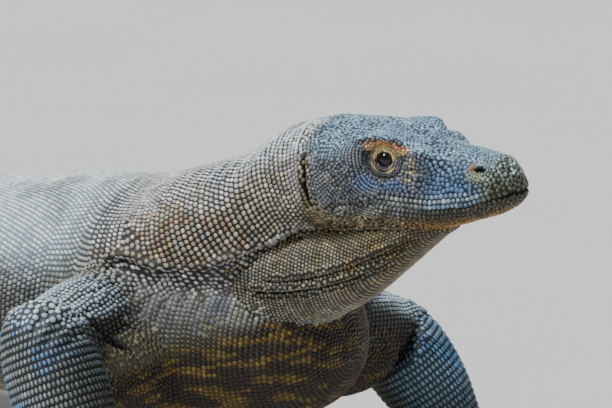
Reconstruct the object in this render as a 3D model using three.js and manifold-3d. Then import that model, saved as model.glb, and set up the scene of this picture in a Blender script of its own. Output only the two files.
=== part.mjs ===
// An adult male Komodo dragon in mid-stride, about 2.5 m long, as a still life-size model.
// Millimetres, +Z up. It faces -Y, its left side is +X, and the ground is z = 0.
//
// The body is one long form, described by cross-sections in planes of constant y, with a throat
// pouch below the neck and four sprawled limbs. It is parted into named pieces by thin cuts.
import * as THREE from "three";
import { mergeVertices } from "three/addons/utils/BufferGeometryUtils.js";
import Module from "manifold-3d";

const wasm = await Module();
wasm.setup();

// ---------------------------------------------------------------- driving dimensions
const GAP = 1; // width of every cut between two pieces of flesh
const EYE = { x: 36.5, y: -243, z: 412, radius: 10.5 };
const CUTS = { neck: -158, chest: -32, trunk: 165, pelvis: 520, tail: 745 };
const TAIL_CUTS = [745, 1070, 1410, 1790];
const HEAD_SIDES = 28;
const BODY_SIDES = 18;
const THROAT_SIDES = 14;
const LIMB_SIDES = 10;
const DIGIT_SIDES = 5;
const CLAW_SIDES = 5;
const PALM_SIDES = 8;
const CLAW_STEPS = 3;
const EYE_SIDES = 12;
const HEAD_REACH = 17; // greatest spacing of the sections of the head, of the body, and of throat and breast
const BODY_REACH = 90;
const THROAT_REACH = 60;
const FLATNESS = { head: 0.7, limb: 2.0, other: 1.4 }; // how far merging facets may move the surface

// Cross-sections from snout tip to tail tip. At each y: the midline's x, the height of the widest
// level, half-width, top of the back, underside, and how square the upper and lower halves are.
const BODY = [
  // y, x, level, halfWidth, top, bottom, squareUp, squareDown
  [-370, 0, 387, 7, 393, 382.5, 2, 2],
  [-368, 0, 386, 14, 397, 377.5, 2.1, 2.1],
  [-363, 0, 386, 21, 406.5, 372, 2.2, 2.2],
  [-355, 0, 384.5, 27.5, 415.5, 366.5, 2.3, 2.3],
  [-345, 0, 382, 32.5, 421, 361.5, 2.3, 2.4],
  [-330, 0, 380, 36, 424, 356.5, 2.2, 2.5],
  [-312, 0, 378, 39.5, 426.5, 349.5, 2.1, 2.6],
  [-290, 0, 376, 44.5, 429, 343.5, 2.15, 2.6],
  [-268, 0, 375, 50, 433, 337.5, 2.7, 2.6],
  [-245, 0, 376, 56, 438, 335, 3.1, 2.5],
  [-222, 0, 378, 61, 440.5, 333, 2.8, 2.4],
  [-200, 0, 379, 65, 440.5, 331.5, 2.45, 2.3],
  [-180, 0, 379, 67, 439.5, 329.5, 2.3, 2.2],
  [-162, 0, 377, 67, 437, 325, 2.2, 2.2],
  [-140, 0, 371, 66, 431.5, 314, 2.2, 2.2],
  [-115, 0, 359, 68, 422, 290, 2.2, 2.2],
  [-85, 0, 336, 75, 399, 238, 2.2, 2.2],
  [-45, 3, 304, 90, 381, 172, 2.2, 2.3],
  [0, 10, 272, 107, 364.5, 145, 2.2, 2.4],
  [60, 24, 242, 123, 346, 126, 2.1, 2.5],
  [130, 41, 220, 136, 336, 112, 2.1, 2.5],
  [250, 64, 200, 147, 311, 98, 2.05, 2.5],
  [370, 73, 194, 149, 303, 94, 2, 2.5],
  [480, 67, 198, 141, 306, 98, 2, 2.5],
  [580, 49, 209, 124, 313, 110, 2, 2.4],
  [660, 29, 218, 104, 315, 126, 2, 2.3],
  [720, 13, 222, 87, 309, 139, 2, 2.2],
  [790, -5, 219, 73, 296, 146, 1.9, 2.1],
  [870, -22, 206, 62, 274, 141, 1.8, 2],
  [970, -38, 183, 53, 245, 121, 1.7, 2],
  [1090, -48, 150, 46, 208, 93, 1.7, 2],
  [1230, -46, 113.4, 40, 170.4, 61.4, 1.7, 2],
  [1390, -30, 71.8, 34, 123.8, 26.8, 1.7, 2],
  [1550, -2, 40, 28.5, 87, 1, 1.7, 2.2],
  [1700, 29, 27, 23.5, 65, -1.2, 1.7, 2.6],
  [1860, 58, 20, 18.5, 49, -1.2, 1.7, 2.6],
  [2000, 79, 15, 14, 36, -1.2, 1.8, 2.5],
  [2100, 88, 11, 9.5, 25, -1.2, 1.9, 2.4],
  [2150, 90, 7, 5.5, 15.5, -1, 2, 2.2],
  [2166, 90, 4, 2, 6.5, 1, 2, 2],
];

// The throat pouch, from under the jaw to the breast, in the same terms.
const THROAT = [
  [-297, 0, 349, 20, 358, 340, 2, 2],
  [-285, 0, 346, 32, 360, 332, 2, 2],
  [-270, 0, 341, 41, 360, 318.5, 2, 2.1],
  [-250, 0, 333, 48, 358, 299.5, 2, 2.1],
  [-230, 0, 325, 53, 356, 281, 2, 2.1],
  [-205, 0, 314, 57, 350, 258.5, 2, 2.1],
  [-176, 0, 304, 60, 344, 240, 2, 2.1],
  [-145, 0, 295, 62, 338, 228, 2, 2.1],
  [-115, 0, 288, 64, 330, 220, 2, 2.1],
  [-88, 0, 282, 64, 322, 216.5, 2, 2.1],
  [-62, 0, 276, 60, 314, 218, 2, 2.1],
  [-36, 0, 270, 50, 304, 226, 2, 2.1],
  [-14, 0, 266, 34, 290, 238, 2, 2],
];

// The breast, which fills the space between the shoulders ahead of the ribs, in the same terms.
const BREAST = [
  [-168, 34, 200, 16, 216, 184, 2, 2],
  [-163, 34, 198, 38, 238, 162, 2, 2],
  [-152, 32, 197, 58, 256, 144, 2, 2.1],
  [-134, 28, 200, 76, 272, 130, 2, 2.2],
  [-110, 22, 204, 92, 286, 120, 2, 2.3],
  [-80, 15, 207, 106, 296, 112, 2, 2.5],
  [-45, 8, 208, 117, 301, 107, 2, 2.7],
  [0, 4, 206, 127, 301, 103, 2, 2.9],
  [50, 11, 205, 129, 290, 104, 2, 2.9],
  [95, 29, 208, 119, 272, 110, 2, 2.6],
];

// Swellings (+) and hollows (-) of the surface, on both sides of the midline: what, centre x, y, z,
// reach along x, y, z, and height.
const RELIEF = [
  ["brow ridge", 44, -253, 424, 9, 21, 10, 15],
  ["front of brow", 37, -280, 413, 10, 15, 11, 14],
  ["rear of brow", 47, -226, 425, 9, 14, 9, 4],
  ["eye hollow", 53, -243, 412, 14, 17, 11, -16],
  ["canthus", 29, -300, 417, 7, 30, 7, 2.5],
  ["hollow before eye", 43, -286, 398, 9, 20, 13, -4],
  ["nostril swelling", 27, -341, 408, 9, 14, 10, 3.5],
  ["jaw muscle", 64, -192, 394, 15, 26, 22, 4],
  ["hollow between brows", 0, -262, 438, 19, 28, 10, -6],
  ["dip of snout", 0, -298, 427, 14, 20, 8, -1.5],
  ["shoulder blade", 100, 24, 300, 34, 55, 50, 6],
  ["hollow behind shoulder", 128, 112, 252, 30, 34, 60, -6],
  ["flank before thigh", 132, 590, 205, 30, 40, 60, -6],
  ["haunch", 92, 690, 262, 30, 60, 40, 6],
];

// The line between the lips, from snout tip to jaw corner: y, z.
const MOUTH = [
  [-373, 390.5],
  [-352, 384],
  [-327, 374.5],
  [-291, 368.5],
  [-262, 370],
  [-239, 372],
  [-214, 370],
];
const JAW_END = [
  [-203, 356],
  [-198, 322],
];

// Limbs: joints in order from girdle to wrist or ankle, then the yaw of the hand or foot from -Y,
// positive outwards. The left fore and right hind limbs are ahead in the stride.
const LIMBS = {
  foreRight: { side: -1, joints: [[-84, 40, 232], [-223, 27, 237], [-240, -47, 86]], yaw: 12, kind: "hand" },
  foreLeft: { side: 1, joints: [[92, -84, 204], [218, -106, 159], [252, -176, 46]], yaw: 20, kind: "hand" },
  hindRight: { side: -1, joints: [[-62, 686, 240], [-218, 606, 184], [-242, 674, 46]], yaw: 22, kind: "foot" },
  hindLeft: { side: 1, joints: [[84, 690, 240], [246, 664, 178], [238, 772, 60]], yaw: 30, kind: "foot" },
};
// The flesh that fills each armpit, below the upper arm: its ends by side, and its radii like a bone's.
const WEBS = { "-1": [[-62, 4, 190], [-204, 20, 202]], 1: [[72, -72, 182], [192, -112, 148]] };
const WEB_GIRTH = [[0, 58, 56], [0.35, 56, 54], [0.7, 48, 48], [0.9, 36, 38], [1, 20, 24]];
// Radii along a limb bone: share of its length, across, and fore-and-aft.
const GIRTH = {
  hand: {
    upper: [
      [-0.02, 46, 50], [0.25, 48, 51], [0.55, 46, 47], [0.85, 41, 42],
      [1, 40, 41], [1.14, 34, 34], [1.22, 20, 20],
    ],
    lower: [
      [-0.24, 20, 22], [-0.14, 35, 37], [0, 43, 44], [0.25, 46, 50],
      [0.55, 42, 45], [0.85, 33, 33], [1, 30, 28], [1.1, 22, 20],
    ],
  },
  foot: {
    upper: [
      [-0.02, 60, 68], [0.25, 64, 74], [0.55, 56, 61], [0.85, 45, 46],
      [1, 41, 42], [1.12, 34, 34], [1.19, 20, 20],
    ],
    lower: [
      [-0.22, 20, 22], [-0.13, 36, 38], [0, 43, 45], [0.28, 45, 50],
      [0.6, 38, 42], [0.88, 30, 30], [1, 28, 27], [1.1, 21, 20],
    ],
  },
};
// Palm or sole: its length, half-width and thickness. Digits, from the inner to the outer: where
// each leaves the palm (ahead, outwards), its splay in degrees and its length.
const PAWS = {
  hand: {
    length: 62, halfWidth: 36, thick: 36,
    digits: [[30, -26, -42, 38], [52, -19, -18, 48], [58, -1, 0, 54], [52, 17, 18, 50], [32, 26, 46, 42]],
  },
  foot: {
    length: 84, halfWidth: 35, thick: 38,
    digits: [[46, -25, -34, 42], [72, -18, -14, 54], [80, -2, 0, 66], [76, 14, 15, 72], [34, 26, 50, 54]],
  },
};
const LEVEL_WRIST = 46; // height of a wrist or ankle over a palm that is flat on the ground
const CUFF = { ahead: 10, down: 60, shift: -26 }; // how the cut between forearm and hand leans
// A claw's length, half-height, half-width, bend in degrees, tilt in radians and start over its digit
const CLAW = { length: 29, halfHeight: 5.8, halfWidth: 3.7, bend: 60, tilt: -0.35, rise: 2 };
const JAW_PRISM = { front: -420, mouth: 392, floor: 250, width: 240 }; // the space cut out for the jaw
const SOCKET = 0.4; // how much larger than the eye its socket is

const COLOURS = {
  head: 0x5d6d78, flesh: 0x6a655c, limb: 0x4f5658, throat: 0x5a5140, eye: 0x16110d, claw: 0x2c2a28,
};

// ---------------------------------------------------------------- curves and sections
// Cubic Hermite interpolation of column c in rows that are sorted by their first column.
function along(rows, t, c) {
  let i = rows.findIndex((row) => row[0] > t) - 1;
  if (i < 0) i = t < rows[0][0] ? 0 : rows.length - 2;
  const slope = (k) => {
    const a = rows[Math.max(k - 1, 0)];
    const b = rows[Math.min(k + 1, rows.length - 1)];
    return (b[c] - a[c]) / (b[0] - a[0]);
  };
  const step = rows[i + 1][0] - rows[i][0];
  const u = Math.min(Math.max((t - rows[i][0]) / step, 0), 1);
  const [p, q, m, n] = [rows[i][c], rows[i + 1][c], slope(i) * step, slope(i + 1) * step];
  return p * (2 * u ** 3 - 3 * u ** 2 + 1) + q * (3 * u ** 2 - 2 * u ** 3)
    + m * (u ** 3 - 2 * u ** 2 + u) + n * (u ** 3 - u ** 2);
}

function smooth(share) {
  const u = Math.min(Math.max(share, 0), 1);
  return u * u * (3 - 2 * u);
}

function relief(x, y, z) {
  return RELIEF.reduce((sum, [, cx, cy, cz, rx, ry, rz, height]) => {
    const d = ((Math.abs(x) - cx) / rx) ** 2 + ((y - cy) / ry) ** 2 + ((z - cz) / rz) ** 2;
    return sum + height * Math.exp(-d);
  }, 0);
}

// The point of a section at y and angle a: 0 is the left side, a quarter turn is the back.
function sectionPoint(rows, y, a, grow) {
  const [, x0, level, half, top, bottom, squareUp, squareDown] = rows[0].map((_, c) => along(rows, y, c));
  const [cos, sin] = [Math.cos(a), Math.sin(a)];
  const power = 2 / (sin >= 0 ? squareUp : squareDown);
  const x = half * Math.sign(cos) * Math.abs(cos) ** power;
  const z = (sin >= 0 ? top - level : level - bottom) * Math.sign(sin) * Math.abs(sin) ** power;
  const out = new THREE.Vector3(x, 0, z);
  out.setLength(out.length() + grow + relief(x, y, level + z));
  return new THREE.Vector3(x0 + out.x, y, level + out.z);
}

// ---------------------------------------------------------------- closed meshes and solids
// A closed tube through rings of equal size, with a fan over each end.
function tubeGeometry(rings) {
  const sides = rings[0].length;
  const middle = (ring) => ring.reduce((sum, p) => sum.add(p), new THREE.Vector3()).divideScalar(sides);
  const points = [...rings.flat(), middle(rings[0]), middle(rings.at(-1))];
  const [first, last] = [points.length - 2, points.length - 1];
  const index = [];
  for (let i = 0; i < sides; i++) {
    const j = (i + 1) % sides;
    index.push(first, j, i);
    for (let r = 0; r + 1 < rings.length; r++) {
      const [a, b] = [r * sides, (r + 1) * sides];
      index.push(a + i, a + j, b + j, a + i, b + j, b + i);
    }
    const end = (rings.length - 1) * sides;
    index.push(last, end + i, end + j);
  }
  const geometry = new THREE.BufferGeometry().setFromPoints(points);
  return geometry.setIndex(index);
}

function solid(geometry) {
  const bare = geometry.clone();
  bare.deleteAttribute("normal");
  bare.deleteAttribute("uv");
  const merged = mergeVertices(bare, 1e-3);
  const mesh = new wasm.Mesh({
    numProp: 3,
    vertProperties: merged.attributes.position.array,
    triVerts: new Uint32Array(merged.index.array),
  });
  const made = new wasm.Manifold(mesh);
  if (made.volume() >= 0) return made;
  for (let i = 0; i < mesh.triVerts.length; i += 3) {
    [mesh.triVerts[i + 1], mesh.triVerts[i + 2]] = [mesh.triVerts[i + 2], mesh.triVerts[i + 1]];
  }
  return new wasm.Manifold(mesh);
}

// Keeps the larger body where a cut has left crumbs.
function mainBody(made) {
  return made.decompose().sort((a, b) => b.volume() - a.volume())[0];
}

function sweptBody(rows, stops, sides, grow = 0) {
  const turns = Array.from({ length: sides }, (_, k) => (2 * Math.PI * k) / sides);
  return solid(tubeGeometry(stops.map((y) => turns.map((a) => sectionPoint(rows, y, a, grow)))));
}

// The rows' own y values between two limits, with extra stops so that none is further apart than reach.
function stopsBetween(rows, from, to, reach) {
  const fixed = [from, ...rows.map((row) => row[0]).filter((y) => y > from + 1 && y < to - 1), to];
  return fixed.flatMap((y, i) => {
    if (i === 0) return [y];
    const parts = Math.ceil((y - fixed[i - 1]) / reach);
    return Array.from({ length: parts }, (_, k) => fixed[i - 1] + ((y - fixed[i - 1]) * (k + 1)) / parts);
  });
}

const between = (made, low, high) =>
  made.trimByPlane([0, 1, 0], low + GAP / 2).trimByPlane([0, -1, 0], -(high - GAP / 2));

// ---------------------------------------------------------------- head, jaw and eyes
// The space of the lower jaw, seen from the side, as a prism right across the head.
function jawSpace(shrink) {
  const { front, mouth: level, floor: low, width } = JAW_PRISM;
  const mouth = [[front, level], ...MOUTH].map(([y, z]) => new THREE.Vector2(y, z - shrink));
  const end = JAW_END.map(([y, z]) => new THREE.Vector2(y - shrink, z));
  const floor = [new THREE.Vector2(JAW_END[1][0] - shrink, low), new THREE.Vector2(front, low)];
  const outline = new THREE.Shape([...mouth, ...end, ...floor]);
  const prism = new THREE.ExtrudeGeometry(outline, { depth: width, bevelEnabled: false });
  // The outline's (u, v) become (y, z), and its depth runs along x.
  prism.applyMatrix4(new THREE.Matrix4().set(0, 0, 1, -width / 2, 1, 0, 0, 0, 0, 1, 0, 0, 0, 0, 0, 1));
  return solid(prism);
}

function eyeBall(side, grow) {
  const ball = new THREE.SphereGeometry(EYE.radius + grow, EYE_SIDES, EYE_SIDES / 2);
  ball.translate(side * EYE.x, EYE.y, EYE.z);
  return solid(ball);
}

// ---------------------------------------------------------------- limbs
const vector = (p) => new THREE.Vector3(...p);

// A limb bone's flesh: elliptical rings on the straight line from one joint to the next.
function boneFlesh(from, to, girth) {
  const axis = to.clone().sub(from);
  const reach = axis.clone().normalize();
  const aft = new THREE.Vector3(0, 1, 0).projectOnPlane(reach).normalize();
  const across = new THREE.Vector3().crossVectors(reach, aft);
  const rings = girth.map(([share, wide, deep]) => {
    const centre = from.clone().addScaledVector(axis, share);
    return Array.from({ length: LIMB_SIDES }, (_, k) => {
      const a = (2 * Math.PI * k) / LIMB_SIDES;
      return centre.clone()
        .addScaledVector(across, wide * Math.cos(a))
        .addScaledVector(aft, deep * Math.sin(a));
    });
  });
  return solid(tubeGeometry(rings));
}

// A paw's own axes: ahead along its yaw, outwards from the body, and up.
function pawAxes({ side, yaw }) {
  const turn = (side * yaw * Math.PI) / 180;
  const ahead = new THREE.Vector3(Math.sin(turn), -Math.cos(turn), 0);
  const outwards = new THREE.Vector3(Math.cos(turn), Math.sin(turn), 0).multiplyScalar(side);
  return { ahead, outwards };
}

const pawPoint = (wrist, { ahead, outwards }, forward, out, height) =>
  new THREE.Vector3(wrist.x, wrist.y, 0)
    .addScaledVector(ahead, forward).addScaledVector(outwards, out).setZ(height);

function palm(wrist, axes, { length, halfWidth, thick }) {
  // forward share, half-width share, top, bottom
  const sections = [
    [-0.42, 0.5, 0.85, 0.25], [-0.25, 0.85, 1.35, -0.05], [0.1, 0.95, 1.45, -0.05],
    [0.6, 1, 0.9, -0.05], [0.95, 0.86, 0.62, -0.03], [1.06, 0.6, 0.44, 0.06],
  ];
  const rings = sections.map(([share, wide, top, bottom]) => Array.from({ length: PALM_SIDES }, (_, k) => {
    const a = (2 * Math.PI * k) / PALM_SIDES;
    const [low, high] = [bottom * thick, top * thick];
    const lift = (wrist.z - LEVEL_WRIST) * (1 - smooth(share / 0.9));
    const height = lift + (low + high) / 2 + ((high - low) / 2) * Math.sin(a);
    return pawPoint(wrist, axes, share * length, wide * halfWidth * Math.cos(a), height);
  }));
  return solid(tubeGeometry(rings));
}

// Where a digit's rings stand: share of its length, height of its centre and its radius.
const DIGIT_RINGS = [[-0.3, 17, 10.4], [0.1, 16, 10.6], [0.6, 8.1, 9.8], [1, 6.6, 8.2], [1.08, 7.2, 4.5]];

function digitRings(wrist, axes, [forward, out, splay, length]) {
  const turn = (splay * Math.PI) / 180;
  return DIGIT_RINGS.map(([share, height, radius]) => {
    const [ahead, outwards] = [share * length * Math.cos(turn), share * length * Math.sin(turn)];
    const centre = pawPoint(wrist, axes, forward + ahead, out + outwards, height);
    return { centre, radius };
  });
}

function digitAxes({ ahead, outwards }, splay) {
  const turn = (splay * Math.PI) / 180;
  const reach = ahead.clone().multiplyScalar(Math.cos(turn)).addScaledVector(outwards, Math.sin(turn));
  return { reach, across: new THREE.Vector3(-reach.y, reach.x, 0), up: new THREE.Vector3(0, 0, 1) };
}

function digit(wrist, axes, shape) {
  const { across, up } = digitAxes(axes, shape[2]);
  const rings = digitRings(wrist, axes, shape).map(({ centre, radius }) =>
    Array.from({ length: DIGIT_SIDES }, (_, k) => {
      const a = (2 * Math.PI * k) / DIGIT_SIDES;
      return centre.clone()
        .addScaledVector(across, radius * Math.cos(a))
        .addScaledVector(up, radius * Math.sin(a));
    }));
  return solid(tubeGeometry(rings));
}

// A claw: a cone on an arc that leaves the digit's tip level and ends pointing steeply down.
function claw(wrist, axes, shape) {
  const { reach, across, up } = digitAxes(axes, shape[2]);
  const tip = digitRings(wrist, axes, shape).at(-1).centre;
  const root = tip.clone().addScaledVector(reach, GAP).addScaledVector(up, CLAW.rise);
  const bend = (CLAW.bend * Math.PI) / 180;
  const radius = CLAW.length / bend;
  const rings = Array.from({ length: CLAW_STEPS + 1 }, (_, i) => {
    const heading = CLAW.tilt + (bend * i) / CLAW_STEPS;
    const centre = root.clone()
      .addScaledVector(reach, radius * (Math.sin(heading) - Math.sin(CLAW.tilt)))
      .addScaledVector(up, radius * (Math.cos(heading) - Math.cos(CLAW.tilt)));
    const normal = up.clone().multiplyScalar(Math.cos(heading)).addScaledVector(reach, Math.sin(heading));
    const size = Math.max(1 - (i / CLAW_STEPS) ** 1.5, 0.09);
    return Array.from({ length: CLAW_SIDES }, (_, k) => {
      const a = (2 * Math.PI * k) / CLAW_SIDES;
      return centre.clone()
        .addScaledVector(across, CLAW.halfWidth * size * Math.cos(a))
        .addScaledVector(normal, CLAW.halfHeight * size * Math.sin(a));
    });
  });
  return solid(tubeGeometry(rings));
}

// Parts a limb at a joint, on the plane that halves the angle there.
function parted(made, before, joint, after, shift = 0) {
  const normal = after.clone().sub(joint).normalize().sub(before.clone().sub(joint).normalize()).normalize();
  const at = normal.dot(joint) + shift;
  return {
    above: mainBody(made.trimByPlane(normal.clone().negate().toArray(), -(at - GAP / 2))),
    below: mainBody(made.trimByPlane(normal.toArray(), at + GAP / 2)),
  };
}

const NAMES = {
  hand: { upper: "upper_arm", lower: "forearm", end: "hand", claw: "hand_claw" },
  foot: { upper: "thigh", lower: "shin", end: "foot", claw: "foot_claw" },
};

function limbPieces(spec, body) {
  const [girdle, middle, wrist] = spec.joints.map(vector);
  const girth = GIRTH[spec.kind];
  const paw = PAWS[spec.kind];
  const axes = pawAxes(spec);
  const sideName = spec.side < 0 ? "right" : "left";
  const names = NAMES[spec.kind];
  const bones = boneFlesh(girdle, middle, girth.upper).add(boneFlesh(middle, wrist, girth.lower));
  const webs = spec.kind === "hand" ? [boneFlesh(...WEBS[spec.side].map(vector), WEB_GIRTH)] : [];
  const limb = webs.reduce((sum, web) => sum.add(web), bones).subtract(body);
  const { above, below } = parted(limb, girdle, middle, wrist);
  const ground = [0, 0, 1];
  const end = paw.digits
    .reduce((sum, shape) => sum.add(digit(wrist, axes, shape)), palm(wrist, axes, paw))
    .trimByPlane(ground, 0);
  const heel = pawPoint(wrist, axes, CUFF.ahead, 0, wrist.z - CUFF.down);
  const cuff = parted(end.add(below), middle, wrist, heel, CUFF.shift);
  const pieces = [
    [`${names.upper}_${sideName}`, above],
    [`${names.lower}_${sideName}`, cuff.above],
    [`${names.end}_${sideName}`, cuff.below],
  ];
  paw.digits.forEach((shape, i) => {
    pieces.push([`${names.claw}_${sideName}_${i + 1}`, claw(wrist, axes, shape)]);
  });
  return pieces;
}

// ---------------------------------------------------------------- assembly
function allPieces() {
  const [snoutTip, tailTip] = [BODY[0][0], BODY.at(-1)[0]];
  const headStops = stopsBetween(BODY, snoutTip, CUTS.neck + 8, HEAD_REACH);
  const bodyStops = stopsBetween(BODY, CUTS.neck - 2, tailTip, BODY_REACH);
  const throatStops = stopsBetween(THROAT, THROAT[0][0], THROAT.at(-1)[0], THROAT_REACH);
  const breastStops = stopsBetween(BREAST, BREAST[0][0], BREAST.at(-1)[0], THROAT_REACH);
  const bodyAt = (grow) => sweptBody(BODY, bodyStops, BODY_SIDES, grow);
  const whole = (grow) => sweptBody(BODY, headStops, HEAD_SIDES, grow).add(bodyAt(grow));
  const throatAt = (grow) => sweptBody(THROAT, throatStops, THROAT_SIDES, grow);

  const face = sweptBody(BODY, headStops, HEAD_SIDES).trimByPlane([0, -1, 0], -(CUTS.neck - GAP / 2));
  const sockets = eyeBall(1, SOCKET).add(eyeBall(-1, SOCKET));
  const head = mainBody(face.subtract(jawSpace(-GAP / 2)).subtract(sockets));
  const jaw = mainBody(face.intersect(jawSpace(GAP / 2)));

  const breastAt = (grow) => sweptBody(BREAST, breastStops, THROAT_SIDES, grow);
  const back = bodyAt(0).add(breastAt(0)).trimByPlane([0, 0, 1], 0);
  const tailEnds = [...TAIL_CUTS.slice(1), tailTip + GAP];
  const throat = mainBody(throatAt(0).subtract(whole(2 * GAP).add(breastAt(2 * GAP))));

  const pieces = [
    ["head", head, "head"],
    ["lower_jaw", jaw, "head"],
    ["eye_right", eyeBall(-1, 0), "eye"],
    ["eye_left", eyeBall(1, 0), "eye"],
    ["throat", throat, "throat"],
    ["neck", between(back, CUTS.neck, CUTS.chest), "flesh"],
    ["chest", between(back, CUTS.chest, CUTS.trunk), "flesh"],
    ["trunk", between(back, CUTS.trunk, CUTS.pelvis), "flesh"],
    ["pelvis", between(back, CUTS.pelvis, CUTS.tail), "flesh"],
    ...TAIL_CUTS.map((y, i) => [`tail_${i + 1}`, between(back, y, tailEnds[i]), "flesh"]),
  ];
  const cutter = whole(2 * GAP).add(throatAt(2 * GAP)).add(breastAt(2 * GAP));
  for (const spec of Object.values(LIMBS)) {
    for (const [name, made] of limbPieces(spec, cutter)) {
      pieces.push([name, made, name.includes("claw") ? "claw" : "limb"]);
    }
  }
  return pieces;
}

function meshOf(name, made, kind) {
  const flatness = FLATNESS[kind] ?? FLATNESS.other;
  const simpler = ["claw", "eye"].includes(kind) ? made : mainBody(made.simplify(flatness));
  const { numProp, numVert, vertProperties, triVerts } = simpler.getMesh();
  const places = new Float32Array(numVert * 3);
  for (let i = 0; i < numVert; i++) {
    places.set(vertProperties.subarray(i * numProp, i * numProp + 3), i * 3);
  }
  const geometry = new THREE.BufferGeometry().setAttribute("position", new THREE.BufferAttribute(places, 3));
  geometry.setIndex(new THREE.BufferAttribute(triVerts, 1));
  geometry.computeVertexNormals();
  const shine = { eye: 0.08, claw: 0.35 }[kind] ?? 0.6;
  const material = new THREE.MeshStandardMaterial({ color: COLOURS[kind], roughness: shine, metalness: 0 });
  const mesh = new THREE.Mesh(geometry, material);
  mesh.name = name;
  return mesh;
}

const dragon = new THREE.Group();
for (const [name, made, kind] of allPieces()) dragon.add(meshOf(name, made, kind));

// The part's own origin is the middle of its bounding box, at ground level.
const box = new THREE.Box3().setFromObject(dragon, true);
const centre = box.getCenter(new THREE.Vector3());
dragon.position.set(-centre.x, -centre.y, -box.min.z);

export default dragon;
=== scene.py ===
"""A Komodo dragon: one skin with solid scales over it, eyes and claws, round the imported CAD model."""

import math

import bmesh
import bpy
import numpy as np
from mathutils import Matrix, Vector
from mathutils.bvhtree import BVHTree
from mathutils.kdtree import KDTree


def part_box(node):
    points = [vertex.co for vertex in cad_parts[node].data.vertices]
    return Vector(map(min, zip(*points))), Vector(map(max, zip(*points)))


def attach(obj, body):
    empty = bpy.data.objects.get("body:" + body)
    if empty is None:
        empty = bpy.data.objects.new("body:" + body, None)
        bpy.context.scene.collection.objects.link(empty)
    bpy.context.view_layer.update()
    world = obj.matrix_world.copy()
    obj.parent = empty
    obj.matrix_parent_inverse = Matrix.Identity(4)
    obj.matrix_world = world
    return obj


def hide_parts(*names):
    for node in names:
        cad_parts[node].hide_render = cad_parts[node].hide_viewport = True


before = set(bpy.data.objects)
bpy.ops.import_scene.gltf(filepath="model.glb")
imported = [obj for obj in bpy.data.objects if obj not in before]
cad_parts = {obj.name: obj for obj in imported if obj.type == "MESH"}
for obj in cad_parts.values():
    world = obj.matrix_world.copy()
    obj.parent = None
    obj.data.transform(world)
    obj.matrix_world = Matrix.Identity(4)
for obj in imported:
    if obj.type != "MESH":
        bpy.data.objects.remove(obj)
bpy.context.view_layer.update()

# The shape is worked out in millimetres in the CAD source's own frame: the animal faces -Y, its
# left side is +X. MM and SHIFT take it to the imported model's frame.
MM = 0.001
EYE = np.array([36.5, -243.0, 412.0])
EYE_RADIUS = 10.5
corners = np.array([list(c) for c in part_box("eye_right")])
SHIFT = corners.mean(0) - EYE * [-1, 1, 1] * MM
COAT = 1.7  # how far the skin lies inside the CAD surface
LOWEST_SKIN, LOWEST_SCALE = 1.3, 0.1  # heights above the ground
HEAD_BACK = -170  # y at the back of the head, where the rows of the body's scales begin
SEED = 11
random = np.random.default_rng(SEED)

# ---- shape tables, as in the CAD source
# y, x of the midline, height of the widest level, half-width, top, bottom, squareness up and down
MIDLINE, LEVEL, TOP, BOTTOM = 1, 2, 4, 5  # columns of the next three tables
BODY = np.array([
    [-370, 0, 387, 7, 393, 382.5, 2, 2],
    [-368, 0, 386, 14, 397, 377.5, 2.1, 2.1],
    [-363, 0, 386, 21, 406.5, 372, 2.2, 2.2],
    [-355, 0, 384.5, 27.5, 415.5, 366.5, 2.3, 2.3],
    [-345, 0, 382, 32.5, 421, 361.5, 2.3, 2.4],
    [-330, 0, 380, 36, 424, 356.5, 2.2, 2.5],
    [-312, 0, 378, 39.5, 426.5, 349.5, 2.1, 2.6],
    [-290, 0, 376, 44.5, 429, 343.5, 2.15, 2.6],
    [-268, 0, 375, 50, 433, 337.5, 2.7, 2.6],
    [-245, 0, 376, 56, 438, 335, 3.1, 2.5],
    [-222, 0, 378, 61, 440.5, 333, 2.8, 2.4],
    [-200, 0, 379, 65, 440.5, 331.5, 2.45, 2.3],
    [-180, 0, 379, 67, 439.5, 329.5, 2.3, 2.2],
    [-162, 0, 377, 67, 437, 325, 2.2, 2.2],
    [-140, 0, 371, 66, 431.5, 314, 2.2, 2.2],
    [-115, 0, 359, 68, 422, 290, 2.2, 2.2],
    [-85, 0, 336, 75, 399, 238, 2.2, 2.2],
    [-45, 3, 304, 90, 381, 172, 2.2, 2.3],
    [0, 10, 272, 107, 364.5, 145, 2.2, 2.4],
    [60, 24, 242, 123, 346, 126, 2.1, 2.5],
    [130, 41, 220, 136, 336, 112, 2.1, 2.5],
    [250, 64, 200, 147, 311, 98, 2.05, 2.5],
    [370, 73, 194, 149, 303, 94, 2, 2.5],
    [480, 67, 198, 141, 306, 98, 2, 2.5],
    [580, 49, 209, 124, 313, 110, 2, 2.4],
    [660, 29, 218, 104, 315, 126, 2, 2.3],
    [720, 13, 222, 87, 309, 139, 2, 2.2],
    [790, -5, 219, 73, 296, 146, 1.9, 2.1],
    [870, -22, 206, 62, 274, 141, 1.8, 2],
    [970, -38, 183, 53, 245, 121, 1.7, 2],
    [1090, -48, 150, 46, 208, 93, 1.7, 2],
    [1230, -46, 113.4, 40, 170.4, 61.4, 1.7, 2],
    [1390, -30, 71.8, 34, 123.8, 26.8, 1.7, 2],
    [1550, -2, 40, 28.5, 87, 1, 1.7, 2.2],
    [1700, 29, 27, 23.5, 65, -1.2, 1.7, 2.6],
    [1860, 58, 20, 18.5, 49, -1.2, 1.7, 2.6],
    [2000, 79, 15, 14, 36, -1.2, 1.8, 2.5],
    [2100, 88, 11, 9.5, 25, -1.2, 1.9, 2.4],
    [2150, 90, 7, 5.5, 15.5, -1, 2, 2.2],
    [2166, 90, 4, 2, 6.5, 1, 2, 2],
])
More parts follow.
